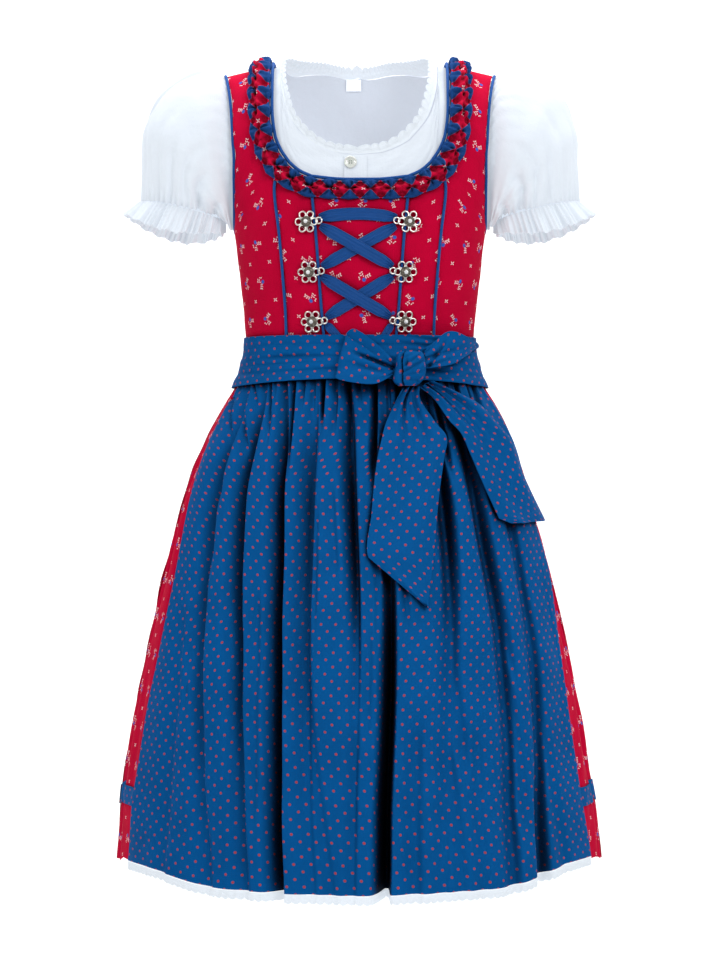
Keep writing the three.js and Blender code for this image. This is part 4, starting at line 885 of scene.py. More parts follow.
def makeButton():
    radius = button["radius"]
    outline = [(0.02, 0), (0.8, 0), (0.97, 0.07), (1.0, 0.16), (0.96, 0.27), (0.86, 0.33), (0.74, 0.31),
               (0.62, 0.24), (0.4, 0.22), (0.02, 0.22)]
    points, faces = turnedBody([(r * radius, h * radius) for r, h in outline], 40)
    here, axes = spotFrame(button["x"], button["z"], blouseLift + 1.5)
    parts = [(points @ axes + here, faces, 0)]
    for x, y in ((-1, -1), (1, -1), (-1, 1), (1, 1)):  # four thread ends over the holes
        eye, eyeFaces = turnedBody([(0.02, 1.2), (0.5, 1.25), (0.5, 1.6), (0.02, 1.7)], 10)
        parts.append(((eye + [x * 0.95, y * 0.95, 0]) @ axes + here, eyeFaces, 1))
    piece = joined("pearlButton", parts, [pearl, sewingThread])
    finishPiece(piece, ["button"])

makeBlouse()
makeNeckLace()
strip("buttonPlacket", "placket", place, (-14, 6), (-160, -88.6), 8, 28, blouseLift + 0.9, 0.7, batiste)
strip("sizeLabel", "size_label", behind, (-14, 1), (-10.5, 0), 6, 4, blouseLift - 2.6, 0.5, labelSatin)
makeButton()
print("blouse made")

# The sleeves.

sleeveRings = [
    dict(topX=130, topZ=-5.6, lowX=116.2, lowZ=-146.8, deep=51),
    dict(topX=154, topZ=-7.5, lowX=117.5, lowZ=-146.6, deep=60),
    dict(topX=181, topZ=-26, lowX=119.5, lowZ=-144.8, deep=62),
    dict(topX=196, topZ=-56, lowX=121, lowZ=-143, deep=60),
    dict(topX=198, topZ=-90, lowX=122, lowZ=-141.2, deep=54),
    dict(topX=198.5, topZ=-122, lowX=122.5, lowZ=-139.5, deep=44),
]
sleeve = dict(columns=240, rows=60, headGathers=34, cuffGathers=46, radius=62, thick=0.7)
# Hanging creases, as the puff sinks on its cuff: angle, half width, depth, start and end.
hangingCreases = [
    (0.95, 0.10, 2.4, 0.35, 1.0), (1.30, 0.08, 3.0, 0.45, 1.0), (1.62, 0.07, 2.6, 0.3, 0.95),
    (1.98, 0.10, 5.5, 0.35, 1.0), (2.45, 0.10, 4.5, 0.3, 1.0), (0.5, 0.09, 2.0, 0.5, 0.95),
    (3.9, 0.1, 2.6, 0.4, 1.0), (4.6, 0.1, 2.6, 0.35, 0.95), (5.4, 0.1, 2.2, 0.45, 1.0),
]
frill = dict(waves=18, perWave=24, rows=16, thick=0.6)
frillRings = [
    dict(topX=198.8, topZ=-122.6, lowX=122.5, lowZ=-140.1, deep=44.2, sag=0),
    dict(topX=212.5, topZ=-135, lowX=124.5, lowZ=-151, deep=57, sag=11),
]

def sleeveRing(row, turns, side):
    centre = np.array([side * (row["topX"] + row["lowX"]) / 2, 0, (row["topZ"] + row["lowZ"]) / 2])
    half = np.array([side * (row["topX"] - row["lowX"]) / 2, 0, (row["topZ"] - row["lowZ"]) / 2])
    deep = np.array([0, -row["deep"], 0])
    ring = centre + half * np.cos(turns)[:, None] + deep * np.sin(turns)[:, None]
    ring[:, 2] -= row.get("sag", 0) * np.sin(turns) ** 2
    return ring

def gathers(turns, count, seed):  # uneven small tucks round a ring, from -1 to 1
    chance = np.random.default_rng(seed)
    wander = sum(chance.uniform(-0.5, 0.5) * np.sin(k * turns + chance.uniform(0, 6)) for k in (1, 2, 3, 5))
    depth = 0.7 + 0.3 * np.sin(3 * turns + chance.uniform(0, 6))
    return np.cos(count * turns + wander * 2.2) * depth

def makeSleeve(side, wearer, turned):
    columns = sleeve["columns"]
    turns = np.arange(columns) / columns * 2 * pi
    edge = turned(chain(blouseFrontEdge[::-1], blouseBackEdge)[:-1])
    points, _, across = frames(edge, blouseLift, True)
    head = pickedRound(points + across * side * 0.6, columns)
    rings = np.array([head] + [sleeveRing(row, turns, side) for row in sleeveRings])
    s = np.linspace(0, 1, sleeve["rows"] + 1)
    grid = through(rings, s)
    normal = normalsOf(grid, True)
    middle = grid.mean(axis=(0, 1))
    outward = np.sign((normal * (grid - middle)).sum())
    s = s[:, None]
    turnsRow = turns[None, :]
    top = 0.5 + 0.5 * np.cos(turnsRow)  # gathers are densest over the top of the head
    atHead = gathers(turnsRow, sleeve["headGathers"], 31 + side) * np.exp(-s / 0.16)
    atHead = atHead * (0.35 + 0.65 * top) * 1.5
    atCuff = gathers(turnsRow, sleeve["cuffGathers"], 41 + side) * np.exp(-(1 - s) / 0.12) * 1.5
    arc = turnsRow * sleeve["radius"]
    soft = ripple(arc * 0.45 + side * 40, s * 150, 51 + side, long=70, short=28) * 1.5 * np.sin(pi * s)
    hang = 0
    for angle, width, depth, start, end in hangingCreases:
        window = smooth(s, start, start + 0.25) * smooth(s, end + 0.08, end - 0.1)
        hang = hang - depth * window * np.exp(-((turnsRow - angle - 0.12 * (s - 0.6)) / width) ** 2)
    relief = (atHead + atCuff + soft + hang) * smooth(s, 0.0, 0.03)
    grid = grid + normal * outward * relief[..., None]
    both = [batiste, batiste]
    piece = shell(f"sleeve.{wearer}", grid, clothUv(grid, True), both, sleeve["thick"], True, outward)
    finishPiece(piece, [f"sleeve_{wearer}"], cutOf(grid, True))

def makeFrill(side, wearer):
    columns = frill["waves"] * frill["perWave"]
    turns = np.arange(columns) / columns * 2 * pi
    low, high = sleeveRing(frillRings[0], turns, side), sleeveRing(frillRings[1], turns, side)
    v = np.linspace(0, 1, frill["rows"])[:, None, None]
    grid = low[None] + (high - low)[None] * v
    centre = grid.mean(1, keepdims=True)
    ray = unit(grid - centre)
    chance = np.random.default_rng(61 + side)
    wander = 0.9 * np.sin(2 * turns + chance.uniform(0, 6)) + 0.6 * np.sin(5 * turns + chance.uniform(0, 6))
    size = 1 + 0.3 * np.sin(3 * turns + chance.uniform(0, 6))
    wave = np.cos(frill["waves"] * turns + wander) * size
    fineWave = np.cos(frill["waves"] * 3 * turns + 3 * wander + 1) * (1 + 0.4 * np.sin(7 * turns))
    flare = v[..., 0]
    grid = grid + ray * (wave[None] * (0.5 + 1.5 * flare) + fineWave[None] * (0.9 + 0.2 * flare))[..., None]
    grid[..., 2] += (np.sin(frill["waves"] * turns + wander) * 0.9 + 0.6 * fineWave)[None] * flare**2
    piece = shell(f"cuffFrill.{wearer}", grid, clothUv(grid, True), [batiste, batiste], frill["thick"], True,
                  outward=np.sign((normalsOf(grid, True) * ray).sum()))
    finishPiece(piece, [f"cuff_frill_{wearer}"], cutOf(grid, True))

for side, wearer, turned in wearerSides:
    makeSleeve(side, wearer, turned)
    makeFrill(side, wearer)
print("sleeves made")

# The skirt.

backFolds = table(
    "waist hem depth wide",
    (101, 104, 9, 10), (118, 121, 16, 9), (136, 139, 21, 8), (153, 152, 15, 10), (171, 170, 22, 8),
    (189, 187, 17, 9), (206, 206, 20, 8), (224, 222, 14, 10), (241, 239, 18, 9), (258, 256, 10, 10),
)
gatherDepth = table("z depth", (-262, 0), (-284, 3.6), (-306, 3), (-360, 0), (-718, 0))
# backCloth and frontCloth are the cloth's full width, and gathered is its share at the waist
skirt = dict(thick=0.9, backColumns=300, frontColumns=150, rows=90, bandTop=-652, bandFoot=-669,
             backCloth=900, frontCloth=700, gathered=0.6)

def opened(z):  # the folds open below the gathers
    return smooth(-z, 285, 430)

def easedKnots(knots, columns):  # angles between the knots of each row, closer together at the knots
    spans = knots.shape[1] - 1
    at = np.linspace(0, spans, columns + 1)
    whole = np.minimum(np.floor(at), spans - 1)
    t = at - whole
    eased = whole + t - 0.45 * np.sin(2 * pi * t) / (2 * pi)
    return np.array([np.interp(eased, np.arange(spans + 1), row) for row in knots]), eased

def fallUv(grid, fullWidth, topShare):  # cloth that fans out from its gathers
    uv = clothUv(grid)
    width = uv[:, -1:, 0] - uv[:, :1, 0]
    share = (uv[..., 0] - uv[:, :1, 0]) / width - 0.5
    drop = uv[:, :1, 1] / uv[-1, 0, 1]
    return np.stack([share * fullWidth * mix(topShare, 1.0, smooth(drop, 0, 0.45)), uv[..., 1]], -1)

def skirtBackGrid(heights):
    z = np.asarray(heights, float)[:, None]
    share = (waistZ - z) / (waistZ - hemZ)
    between = np.radians(mix(backFolds["waist"], backFolds["hem"], share))
    knots = np.concatenate([np.full_like(z, pi / 2), between, np.full_like(z, 1.5 * pi)], 1)
    angles, u = easedKnots(knots, skirt["backColumns"])
    half = along(skirtForm, "half", z)
    depth = along(gatherDepth, "depth", z) * (0.5 - 0.5 * np.cos(2 * pi * u * 2))
    for k in range(len(backFolds["depth"])):
        away = (angles - between[:, k:k + 1]) * half / backFolds["wide"][k]
        depth = depth + backFolds["depth"][k] * opened(z) * np.exp(-away**2)
    depth = depth + 0.9 * ripple(angles * half, z * 0.25, 71, long=60, short=22) * smooth(-z, 280, 420)
    return sectionPoint(skirtForm, np.broadcast_to(z, angles.shape), angles, -depth)

# Under the apron the skirt lies back by this depth, which it reaches this far in from the apron's edge.
underApron = table(
    "z depth edge",
    (-262, 0, 6), (-277, 13, 6), (-345, 20, 9), (-430, 27, 16), (-540, 33, 22), (-718, 39, 28),
)
apronEdge = table(
    "z x",
    (-292, 109.5), (-312, 121.5), (-345, 135), (-400, 149.5), (-540, 177), (-718, 201),
)
sideFold = dict(angle=math.radians(83), depth=11, wide=13)

def skirtFrontDepth(z, angle):  # how far the front of the skirt lies inside its crests
    half = along(skirtForm, "half", z)
    bare = half * frontAngle(skirtForm, z, along(apronEdge, "x", z))
    inside = bare - np.abs(angle) * half + 3
    under = along(underApron, "depth", z) * smooth(inside, 0, along(underApron, "edge", z))
    away = (np.abs(angle) - sideFold["angle"]) * half / sideFold["wide"]
    return under + sideFold["depth"] * opened(z) * np.exp(-away**2)

def skirtFrontGrid(heights):
    z = np.asarray(heights, float)[:, None]
    u = np.linspace(-1, 1, skirt["frontColumns"] + 1)[None, :]
    angle = np.broadcast_to(pi / 2 * signedPower(u, 0.6), (len(z), u.shape[1]))
    arc = angle * along(skirtForm, "half", z)
    small = 0.8 * ripple(arc, z * 0.25, 73, long=50, short=20) * smooth(-z, 280, 420)
    grid = sectionPoint(skirtForm, np.broadcast_to(z, angle.shape), angle, -skirtFrontDepth(z, angle) - small)
    x = np.abs(grid[..., 0])  # its hem too is drawn up a little before the sides
    grid[..., 2] += 9 * smooth(x, 150, 195) * smooth(x, 219, 209) * ((waistZ - z) / (waistZ - hemZ)) ** 3
    return grid

def bandRows(makeGrid, name, node, seed):  # the ribbon, sewn on the skirt's own surface
    grid = makeGrid(np.linspace(skirt["bandTop"], skirt["bandFoot"], 10))
    normal = normalsOf(grid)
    grid = pulledIn(grid + normal * facing(normal, grid) * 1.1, left=0.2, right=0.2)
    piece = shell(name, grid, clothUv(grid) + [seed, 3.0], [dottedBlue, dottedBlue], 0.7)
    finishPiece(piece, [node], cutOf(grid))

def makeSkirt():
    heights = np.linspace(waistZ - 0.6, hemZ, skirt["rows"] + 1)
    back = pulledIn(skirtBackGrid(heights), left=seamGap, right=seamGap)
    uv = fallUv(back, skirt["backCloth"], skirt["gathered"])
    piece = shell("skirtBack", back, uv, [redPrint, redPrint], skirt["thick"])
    finishPiece(piece, ["skirt_back"], cutOf(back))
    front = pulledIn(skirtFrontGrid(heights), left=seamGap, right=seamGap)
    uv = fallUv(front, skirt["frontCloth"], skirt["gathered"])
    piece = shell("skirtFront", front, uv, [redPrint, redPrint], skirt["thick"])
    finishPiece(piece, ["skirt_front"], cutOf(front))
    bandRows(skirtBackGrid, "hemBandBack", "hem_band_back", 5.0)
    bandRows(skirtFrontGrid, "hemBandFront", "hem_band_front", 1.0)

makeSkirt()
print("skirt made")

# The apron.

apron = dict(thick=0.9, lift=2.8, columns=420, rows=110, topZ=-281, slant=0.3, mainDepth=1.3,
             cloth=620, gathered=0.62)
apronLace = dict(drop=8.0, scallopMm=7.0, rows=8, columns=780, thick=0.7)
foldHeights = np.array([-292, -400, -540, -718], float)
apronFolds = [  # place and depth at the four heights, and half width, from the right edge to the left
    dict(x=[-99, -127, -136, -128], depth=[4, 11, 9, 4], wide=8),
    dict(x=[-84, -101, -102, -96], depth=[4, 18, 12, 5], wide=7),
    dict(x=[-66, -66, -66, -65], depth=[4, 20, 28, 32], wide=5.5),
    dict(x=[-40, -43, -45, -40], depth=[4, 12, 8, 4], wide=8),
    dict(x=[-11, -4, 0, -6], depth=[5, 14, 5, 3], wide=6),
    dict(x=[22, 27, 29, 23], depth=[3, 7, 20, 34], wide=5.5),
    dict(x=[52, 78, 80, 70], depth=[4, 16, 6, 4], wide=8),
    dict(x=[80, 108, 128, 132], depth=[4, 12, 10, 7], wide=8),
    dict(x=[99, 132, 155, 160], depth=[4, 6, 7, 12], wide=7),
]
# Smaller creases: place at their top and foot, the heights between which they run, depth and half width.
apronCreases = table(
    "topX footX top foot depth wide",
    (-113, -121, -288, -410, 8.0, 3.6),
    (-103, -100, -300, -395, 9.0, 4.2),
    (-94, -90, -283, -350, 6.0, 2.6),
    (-86, -84, -283, -335, 5.0, 2.4),
    (-78, -80, -283, -360, 6.5, 3.0),
    (-66, -70, -283, -350, 7.0, 3.0),
    (-57, -62, -283, -385, 9.0, 2.8),
    (-49, -53, -283, -335, 7.0, 2.4),
    (-41, -45, -283, -350, 7.0, 2.8),
    (-31, -34, -283, -345, 13.0, 2.5),
    (-21, -22, -283, -355, 6.5, 2.6),
    (-10.5, -8, -283, -390, 14.0, 2.6),
    (-2, 2, -283, -330, 6.5, 2.5),
    (5, 8, -283, -330, 5.0, 2.4),
    (13, 15, -283, -390, 13.0, 2.8),
    (24, 27, -283, -345, 6.0, 2.6),
    (34, 38, -283, -370, 7.0, 2.8),
    (44, 53, -283, -390, 8.0, 3.0),
    (54, 66, -283, -350, 6.0, 2.6),
    (64, 84, -283, -385, 9.0, 3.0),
    (74, 98, -283, -360, 7.0, 2.8),
    (84, 112, -283, -400, 10.0, 3.2),
    (93, 124, -283, -380, 7.0, 3.0),
    (101, 138, -288, -420, 8.0, 3.6),
    (-118, -150, -340, -570, 6.0, 8.0),
    (-150, -168, -470, -718, 5.0, 9.0),
    (-86, -88, -450, -690, 4.5, 7.0),
    (-52, -24, -500, -718, 5.0, 9.0),
    (-24, -18, -360, -480, 5.0, 6.0),
    (12, 6, -430, -610, 4.5, 7.0),
    (16, 20, -380, -540, 6.0, 5.0),
    (50, 46, -560, -718, 6.0, 8.0),
    (64, 94, -420, -640, 6.0, 8.0),
    (75, 86, -580, -718, 5.0, 8.0),
    (105, 139, -385, -570, 7.0, 6.5),
    (118, 148, -450, -700, 5.5, 8.0),
    (142, 178, -470, -718, 4.5, 8.0),
    (-95, -99, -320, -500, 9.0, 2.4),
    (-108, -112, -400, -560, 6.0, 4.0),
    (-122, -128, -360, -470, 7.0, 4.0),
    (-139, -150, -420, -600, 4.0, 3.5),
    (-74, -77, -370, -560, 4.0, 3.0),
    (-34, -36, -380, -520, 4.0, 3.0),
    (38, 44, -400, -520, 4.0, 3.0),
    (100, 104, -560, -718, 4.0, 6.0),
)

def atHeight(values, z):
    return along(dict(z=foldHeights, value=np.array(values, float)), "value", z)

def sunk(away, depth, wide):  # a lapped fold: it falls in gently from the right and ends sharply
    away = away + 0.3 * apron["slant"] * depth
    return depth * np.exp(-(np.abs(away) / (wide * np.where(away < 0, 1.35, 0.8))) ** 2.4)

def apronGrid(heights):
    z = np.asarray(heights, float)[:, None]
    edge = along(apronEdge, "x", z)
    rightEdge = 4 * np.exp(-((z + 480) / 60) ** 2) - edge
    leftEdge = 6 * np.exp(-((z + 455) / 75) ** 2) + 4 * np.exp(-((z + 345) / 30) ** 2) + edge
    places = [rightEdge] + [atHeight(fold["x"], z) for fold in apronFolds] + [leftEdge]
    knots = np.concatenate([frontAngle(skirtForm, z, x) for x in places], 1)
    angles, u = easedKnots(knots, apron["columns"])
    half = along(skirtForm, "half", z)
    arc = angles * half
    depth = 0
    for k, fold in enumerate(apronFolds):
        deep = atHeight(fold["depth"], z) * apron["mainDepth"]
        depth = depth + sunk(arc - knots[:, k + 1:k + 2] * half, deep, fold["wide"])
    wander = 0.35 * np.sin(u * 2.3 + 1.0)
    small = along(gatherDepth, "depth", z) * (0.5 - 0.5 * np.cos(2 * pi * (u + wander) * 2))
    for k in range(len(apronCreases["top"])):
        row = {key: column[k] for key, column in apronCreases.items()}
        share = np.clip((row["top"] - z) / (row["top"] - row["foot"]), 0, 1)
        x = mix(row["topX"], row["footX"], share)
        openTop = 1 if row["top"] > -290 else smooth(row["top"] - z, 0, 40)
        closed = smooth(z - row["foot"], 0, 45) if row["foot"] > -715 else 1
        away = arc - frontAngle(skirtForm, z, x) * half
        small = np.maximum(small, sunk(away, row["depth"] * openTop * closed, row["wide"]))
    depth = np.logaddexp(depth / 2, small / 2) * 2 - 1.39  # the deeper of the two, with a soft change over
    depth = depth + 0.7 * ripple(arc, z * 0.22, 81, long=46, short=18) * smooth(-z, 285, 400)
    deepest = skirtFrontDepth(z, angles) + apron["lift"] - 2.4  # where the folds meet the skirt behind them
    depth = deepest - np.logaddexp(0, deepest - depth)
    fromEdge = np.minimum(arc - arc[:, :1], arc[:, -1:] - arc)
    slid = apron["slant"] * depth * smooth(fromEdge, 0, 16)  # the folds lie over to one side
    # it lies closer at its upper sides
    lift = apron["lift"] - 1.3 * smooth(fromEdge, 14, 0) * smooth(-z, 400, 340)
    grid = sectionPoint(skirtForm, np.broadcast_to(z, angles.shape), angles + slid / half, lift - depth)
    # the hem is drawn up a little towards the sides
    lifted = np.where(grid[..., 0] > 0, 13, 9) * smooth(np.abs(grid[..., 0]), 118, 195)
    grid[..., 2] += lifted * ((apron["topZ"] - z) / (apron["topZ"] - hemZ)) ** 3
    return grid

def makeApron():
    heights = np.linspace(apron["topZ"], hemZ, apron["rows"] + 1)
    grid = apronGrid(heights)
    uv = fallUv(grid, apron["cloth"], apron["gathered"])
    panel = shell("apronPanel", grid, uv, [dottedBlue, dottedBlue], apron["thick"])
    lace = makeApronLace()
    finishPiece(panel, ["apron_panel"], cutOf(grid))

def makeApronLace():
    drop, rows = apronLace["drop"], apronLace["rows"]
    grid = pulledIn(apronGrid(np.linspace(hemZ - 0.2, hemZ - drop, rows)), left=0.4, right=0.4)
    spots = np.arange(grid.shape[1])
    finer = np.linspace(0, len(spots) - 1, apronLace["columns"])
    grid = np.array([[np.interp(finer, spots, line) for line in row.T] for row in grid]).transpose(0, 2, 1)
    way = clothUv(grid)[..., 0]
    scallop = np.abs(np.sin(pi * way / apronLace["scallopMm"]))
    v = np.linspace(0, 1, rows)[:, None]
    grid[..., 2] = grid[:1, :, 2] - drop * v * (0.7 + 0.3 * scallop**0.6)
    normal = normalsOf(grid)
    relief = 0.35 * np.cos(2 * pi * way / apronLace["scallopMm"]) * v + 0.3 * np.sin(v * 12) * (v < 0.7)
    grid = grid + normal * facing(normal, grid) * relief[..., None]
    piece = shell("apronLace", grid, clothUv(grid), [cottonLace, cottonLace], apronLace["thick"])
    return finishPiece(piece, ["apron_lace"])

makeApron()
print("apron made")

# The tie, its knot, loops and tails.

tie = dict(thick=0.8, frontColumns=200, backColumns=120, rows=56, topFront=-247.5, topSide=-246.5,
           footFront=-286, footSide=-291.5, radius=108)
tieFolds = [(0.5, 1, 3.0), (0.6, -0.6, 1.8), (0.77, -1, 2.8), (0.22, 0.5, 1.2)]  # place, drift and depth

def makeTie(name, node, start, end, columns):
    angle = np.linspace(start, end, columns + 1)[None, :]
    v = np.linspace(0, 1, tie["rows"] + 1)[:, None]
    sideways = np.sin(angle) ** 2
    top = mix(tie["topFront"], tie["topSide"], sideways)
    foot = mix(tie["footFront"], tie["footSide"], sideways)
    z = mix(top, foot, v)
    # the wound cloth lies in long lapped folds, each with a sharp lower lip, which the knot draws together
    arc = angle * tie["radius"]
    pull = np.sin(arc / 31 + 0.6) * 0.035
    fold = 0.0 * arc
    for at, drift, deep in tieFolds:
        away = v - at - pull * drift
        strength = deep * (0.7 + 0.3 * np.sin(arc / (19 + 8 * at) + 9 * at))
        fold = fold - strength * np.exp(-np.abs(away / np.where(away > 0, 0.09, 0.045)) ** 1.6)
    # beside the knot the cloth is drawn in many small folds, and at the sides it puckers on its seam
    beside = smooth(np.abs(arc - 84), 62, 24)
    fold = fold + 0.7 * beside * np.cos(2 * pi * (v * 6.5 + 0.3 * np.sin(arc / 17)))
    puckered = smooth(np.abs(angle - np.round(angle / pi) * pi), 0.75, 1.3)
    fold = fold + 0.28 * puckered * np.cos(arc / 0.75 + 2 * np.sin(v * 7))
    fold = fold + 0.25 * ripple(arc, v * 45, 91, long=30, short=9)
    fold = np.maximum(fold, -3.1) * (1 - 0.75 * np.abs(np.sin(angle)) ** 6)
    z = np.broadcast_to(z, (v * angle).shape)
    grid = sectionPoint(tieForm, z, np.broadcast_to(angle, z.shape), fold - 0.1)
    grid = pulledIn(grid, left=seamGap, right=seamGap)
    piece = shell(name, grid, clothUv(grid), [tiedBlue, tiedBlue], tie["thick"])
    finishPiece(piece, [node], cutOf(grid))

def overTie(x, z, out):  # a point in front of the tie at this x and z
    p = sectionPoint(tieForm, z, frontAngle(tieForm, z, x))
    return np.stack([x + 0 * p[..., 1], p[..., 1] - out, z + 0 * x], -1)

knot = dict(x=43.2, z=-277.6, halfWide=13.4, halfDeep=9.5, halfHigh=15.4, rings=46, sides=72)

knotCreases = [  # height, slope, depth and half width
    (0.46, 0.55, 0.15, 0.07), (0.06, 0.45, 0.20, 0.08), (-0.34, 0.2, 0.13, 0.06), (-0.66, -0.1, 0.16, 0.07),
    (0.78, 0.3, 0.12, 0.07),
]

def makeKnot():
    share = np.linspace(0.0, 1.0, knot["rings"])[:, None]
    turns = (np.arange(knot["sides"]) / knot["sides"] * 2 * pi)[None, :]
    height = np.cos(share * pi)
    full = np.maximum(1 - np.abs(height) ** 4, 0.2) ** 0.27
    # a narrow wrap on the left of the knot, a rounder body beside it, and creases that run into both
    x, y = signedPower(np.cos(turns), 0.8), signedPower(np.sin(turns), 0.8)
    front = np.clip(-y * 1.4, 0, 1)
    cut = 0.42 * np.exp(-((x + 0.58 + 0.10 * height) / 0.07) ** 2) * front
    for at, slope, deep, wide in knotCreases:
        away = (height - at - slope * (x - 0.2)) / wide
        away = np.abs(away / np.where(away > 0, 1.8, 0.7))
        cut = cut + deep * np.exp(-(away**1.6)) * front * smooth(x, -0.6, -0.3)
    cut = cut + 0.22 * np.exp(-(((x + 0.28) / 0.08) ** 2) - ((height - 0.3) / 0.18) ** 2) * front
    uneven = 0.03 * np.sin(9 * x + 4 * height) + 0.05 * np.sin(3 * height + 2 * x)
    size = full * (1 - np.minimum(cut, 0.5) + uneven)
    centre = overTie(np.array(knot["x"]), np.array(knot["z"]), knot["halfDeep"] + 4.5)
    rings = np.stack([
        centre[0] + knot["halfWide"] * size * x + 1.6 * height,
        centre[1] + knot["halfDeep"] * size * y,
        centre[2] + knot["halfHigh"] * height + 0 * x,
    ], -1)
    piece = tube("bowKnot", rings, [tiedBlue], uvRound=72.0, sharp=80)
    finishPiece(piece, ["bow_knot"])

# The loops, from the knot out and back: x and z of the upper and of the lower edge, and how far out.
loopRows = {
    "right": [
        (29, -271, 29, -283, 5), (16, -257, 14, -285, 3), (-4, -243, -8, -284, 3.2),
        (-12.5, -247, -20, -283, 7), (-11, -250, -20, -287, 13), (3, -259, -1, -291, 18),
        (17, -269, 15, -291, 18), (29.4, -273.5, 29.4, -283, 10.8),
    ],
    "left": [
        (57.3, -259, 57.3, -270, 5), (78, -246.5, 78, -271, 3), (99, -250, 95, -264, 4),
        (107.5, -253.4, 101, -260.5, 12), (98.5, -249, 92, -267, 19), (78, -244.5, 79, -274, 19),
        (56.9, -263, 56.9, -277, 18.5),
    ],
}
# Creases across the front of each loop: where they start and end (x and z), depth and half width.
loopCreases = {
    "right": [
        (-9, -263, 28, -277, 5.5, 1.9), (0, -251, 26, -270, 1.8, 1.6), (-14, -272, 24, -283, 1.6, 1.8),
    ],
    "left": [
        (77.8, -250, 62, -273, 3.2, 1.7), (98, -256, 60, -268, 2.0, 1.8), (90, -266, 60, -275, 1.5, 1.6),
    ],
}
bow = dict(loopSpans=120, loopAcross=40, tailAcross=40, thick=0.9)

def makeLoop(wearer, side):
    rows = np.array(loopRows[wearer], float)
    stations = through(rows, np.linspace(0, 1, bow["loopSpans"] + 1))
    topX, topZ, lowX, lowZ, out = [stations[:, k:k + 1] for k in range(5)]
    v = np.linspace(0, 1, bow["loopAcross"] + 1)[None, :]
    t = np.linspace(0, 1, bow["loopSpans"] + 1)[:, None]
    nearKnot = np.exp(-t / 0.16) + np.exp(-(1 - t) / 0.16)
    # creases fan out from the knot
    crease = 1.5 * np.cos(2 * pi * (v * 2.5 + 0.2)) * nearKnot
    crease = crease + 0.9 * np.sin(2 * pi * (v * 1.2 + t * 1.3)) * np.sin(pi * t)
    grid = overTie(mix(topX, lowX, v), mix(topZ, lowZ, v), out + 0 * v)
    ahead = unit(np.gradient(grid, axis=0))
    inward = unit(np.cross(ahead, [0, 0, side]))
    pushed = 0
    for x1, z1, x2, z2, deep, wide in loopCreases[wearer]:
        length = math.hypot(x2 - x1, z2 - z1)
        way = ((grid[..., 0] - x1) * (x2 - x1) + (grid[..., 2] - z1) * (z2 - z1)) / length
        away = ((grid[..., 0] - x1) * (z2 - z1) - (grid[..., 2] - z1) * (x2 - x1)) / length
        window = smooth(way, -4, length * 0.5) * smooth(way, length + 12, length)
        pushed = pushed + deep * window * np.exp(-(away / wide) ** 2) * smooth(t, 0.5, 0.62)
    grid = grid + inward * (0.9 - 0.8 * crease)[..., None] * 0.5
    grid[..., 1] += pushed
    normal = normalsOf(grid)
    outward = -np.sign((normal * inward).sum())
    piece = shell(f"bowLoop.{wearer}", grid, clothUv(grid) + [0, side * 9], [tiedBlue] * 2, bow["thick"],
                  outward=outward)
    finishPiece(piece, [f"bow_loop_{wearer}"], cutOf(grid))

# The tails, from the knot down: x and z of the right and the left edge, and how far out.
tailRows = {
    "right": [
        (34, -293.4, 46, -293.4, 8), (27, -307, 48, -306, 6), (19.5, -325, 61, -325, 4.5),
        (16, -341, 70.5, -338, 4), (13, -360, 69, -357, 3.5), (9.5, -402, 64.5, -400, 3),
        (6.8, -440.6, 60, -448, 3), (31, -462, 57, -470, 3), (53.5, -482, 55.7, -483.6, 3),
    ],
    "left": [
        (46, -293.6, 55.6, -288, 10), (57, -303, 74.8, -296.7, 8), (69.8, -322.3, 95, -308, 8),
        (80.2, -334, 113, -327, 7), (89, -351, 126, -341, 6), (103, -380, 138.5, -370, 5),
        (117, -408.7, 151, -393, 4), (127.4, -413, 160.5, -411.5, 4),
    ],
}
# the folds along a tail: place across it, drift, depth and half width
tailFolds = [(0.3, 0.25, 2.0, 0.05), (0.55, -0.1, 2.4, 0.06), (0.78, -0.3, 1.6, 0.05)]

def makeTail(wearer, crease):
    rows = np.array(tailRows[wearer], float)
    spans = (len(rows) - 1) * 14
    t = np.linspace(0, 1, spans + 1)
    stations = through(rows, t)
    # the cut end keeps straight edges, so the last rows are joined by straight lines
    row = t * (len(rows) - 1)
    for k in range(5):
        straight = np.interp(row, np.arange(len(rows)), rows[:, k])
        stations[:, k] = np.where(row > len(rows) - 3, straight, stations[:, k])
    rightX, rightZ, leftX, leftZ, out = [stations[:, k:k + 1] for k in range(5)]
    u = np.linspace(0, 1, bow["tailAcross"] + 1)[None, :]
    z = mix(rightZ, leftZ, u)
    angle = frontAngle(skirtForm, z, mix(rightX, leftX, u) + sway)
    down = t[:, None]
    wave = crease * np.sin(3 * pi * u) + 2.2 * np.exp(-down / 0.3) * np.cos(2 * pi * (u * 3.2 + 0.3))
    wave = wave + 1.6 * np.sin(2 * pi * (u * 1.1 + down * 0.8)) * smooth(down, 0.2, 0.6)
    fade = smooth(down, 0.75, 0.3) * smooth(down, 0.0, 0.06)
    for at, drift, deep, wide in tailFolds:
        wave = wave - deep * fade * np.exp(-((u - at - drift * down) / wide) ** 2)
    grid = sectionPoint(skirtForm, z, angle, 4.2 + out + wave)
    piece = shell(f"bowTail.{wearer}", grid, clothUv(grid) + [4.0, 2.0], [tiedBlue, tiedBlue], bow["thick"])
    finishPiece(piece, [f"bow_tail_{wearer}"], cutOf(grid))

makeTie("tieFront", "waist_tie_front", -pi / 2, pi / 2, tie["frontColumns"])
makeTie("tieBack", "waist_tie_back", pi / 2, 1.5 * pi, tie["backColumns"])
makeKnot()
makeLoop("right", -1)
makeLoop("left", 1)
makeTail("right", 1.2)
makeTail("left", 2.0)
print("tie and bow made")

# Hooks and lacing.

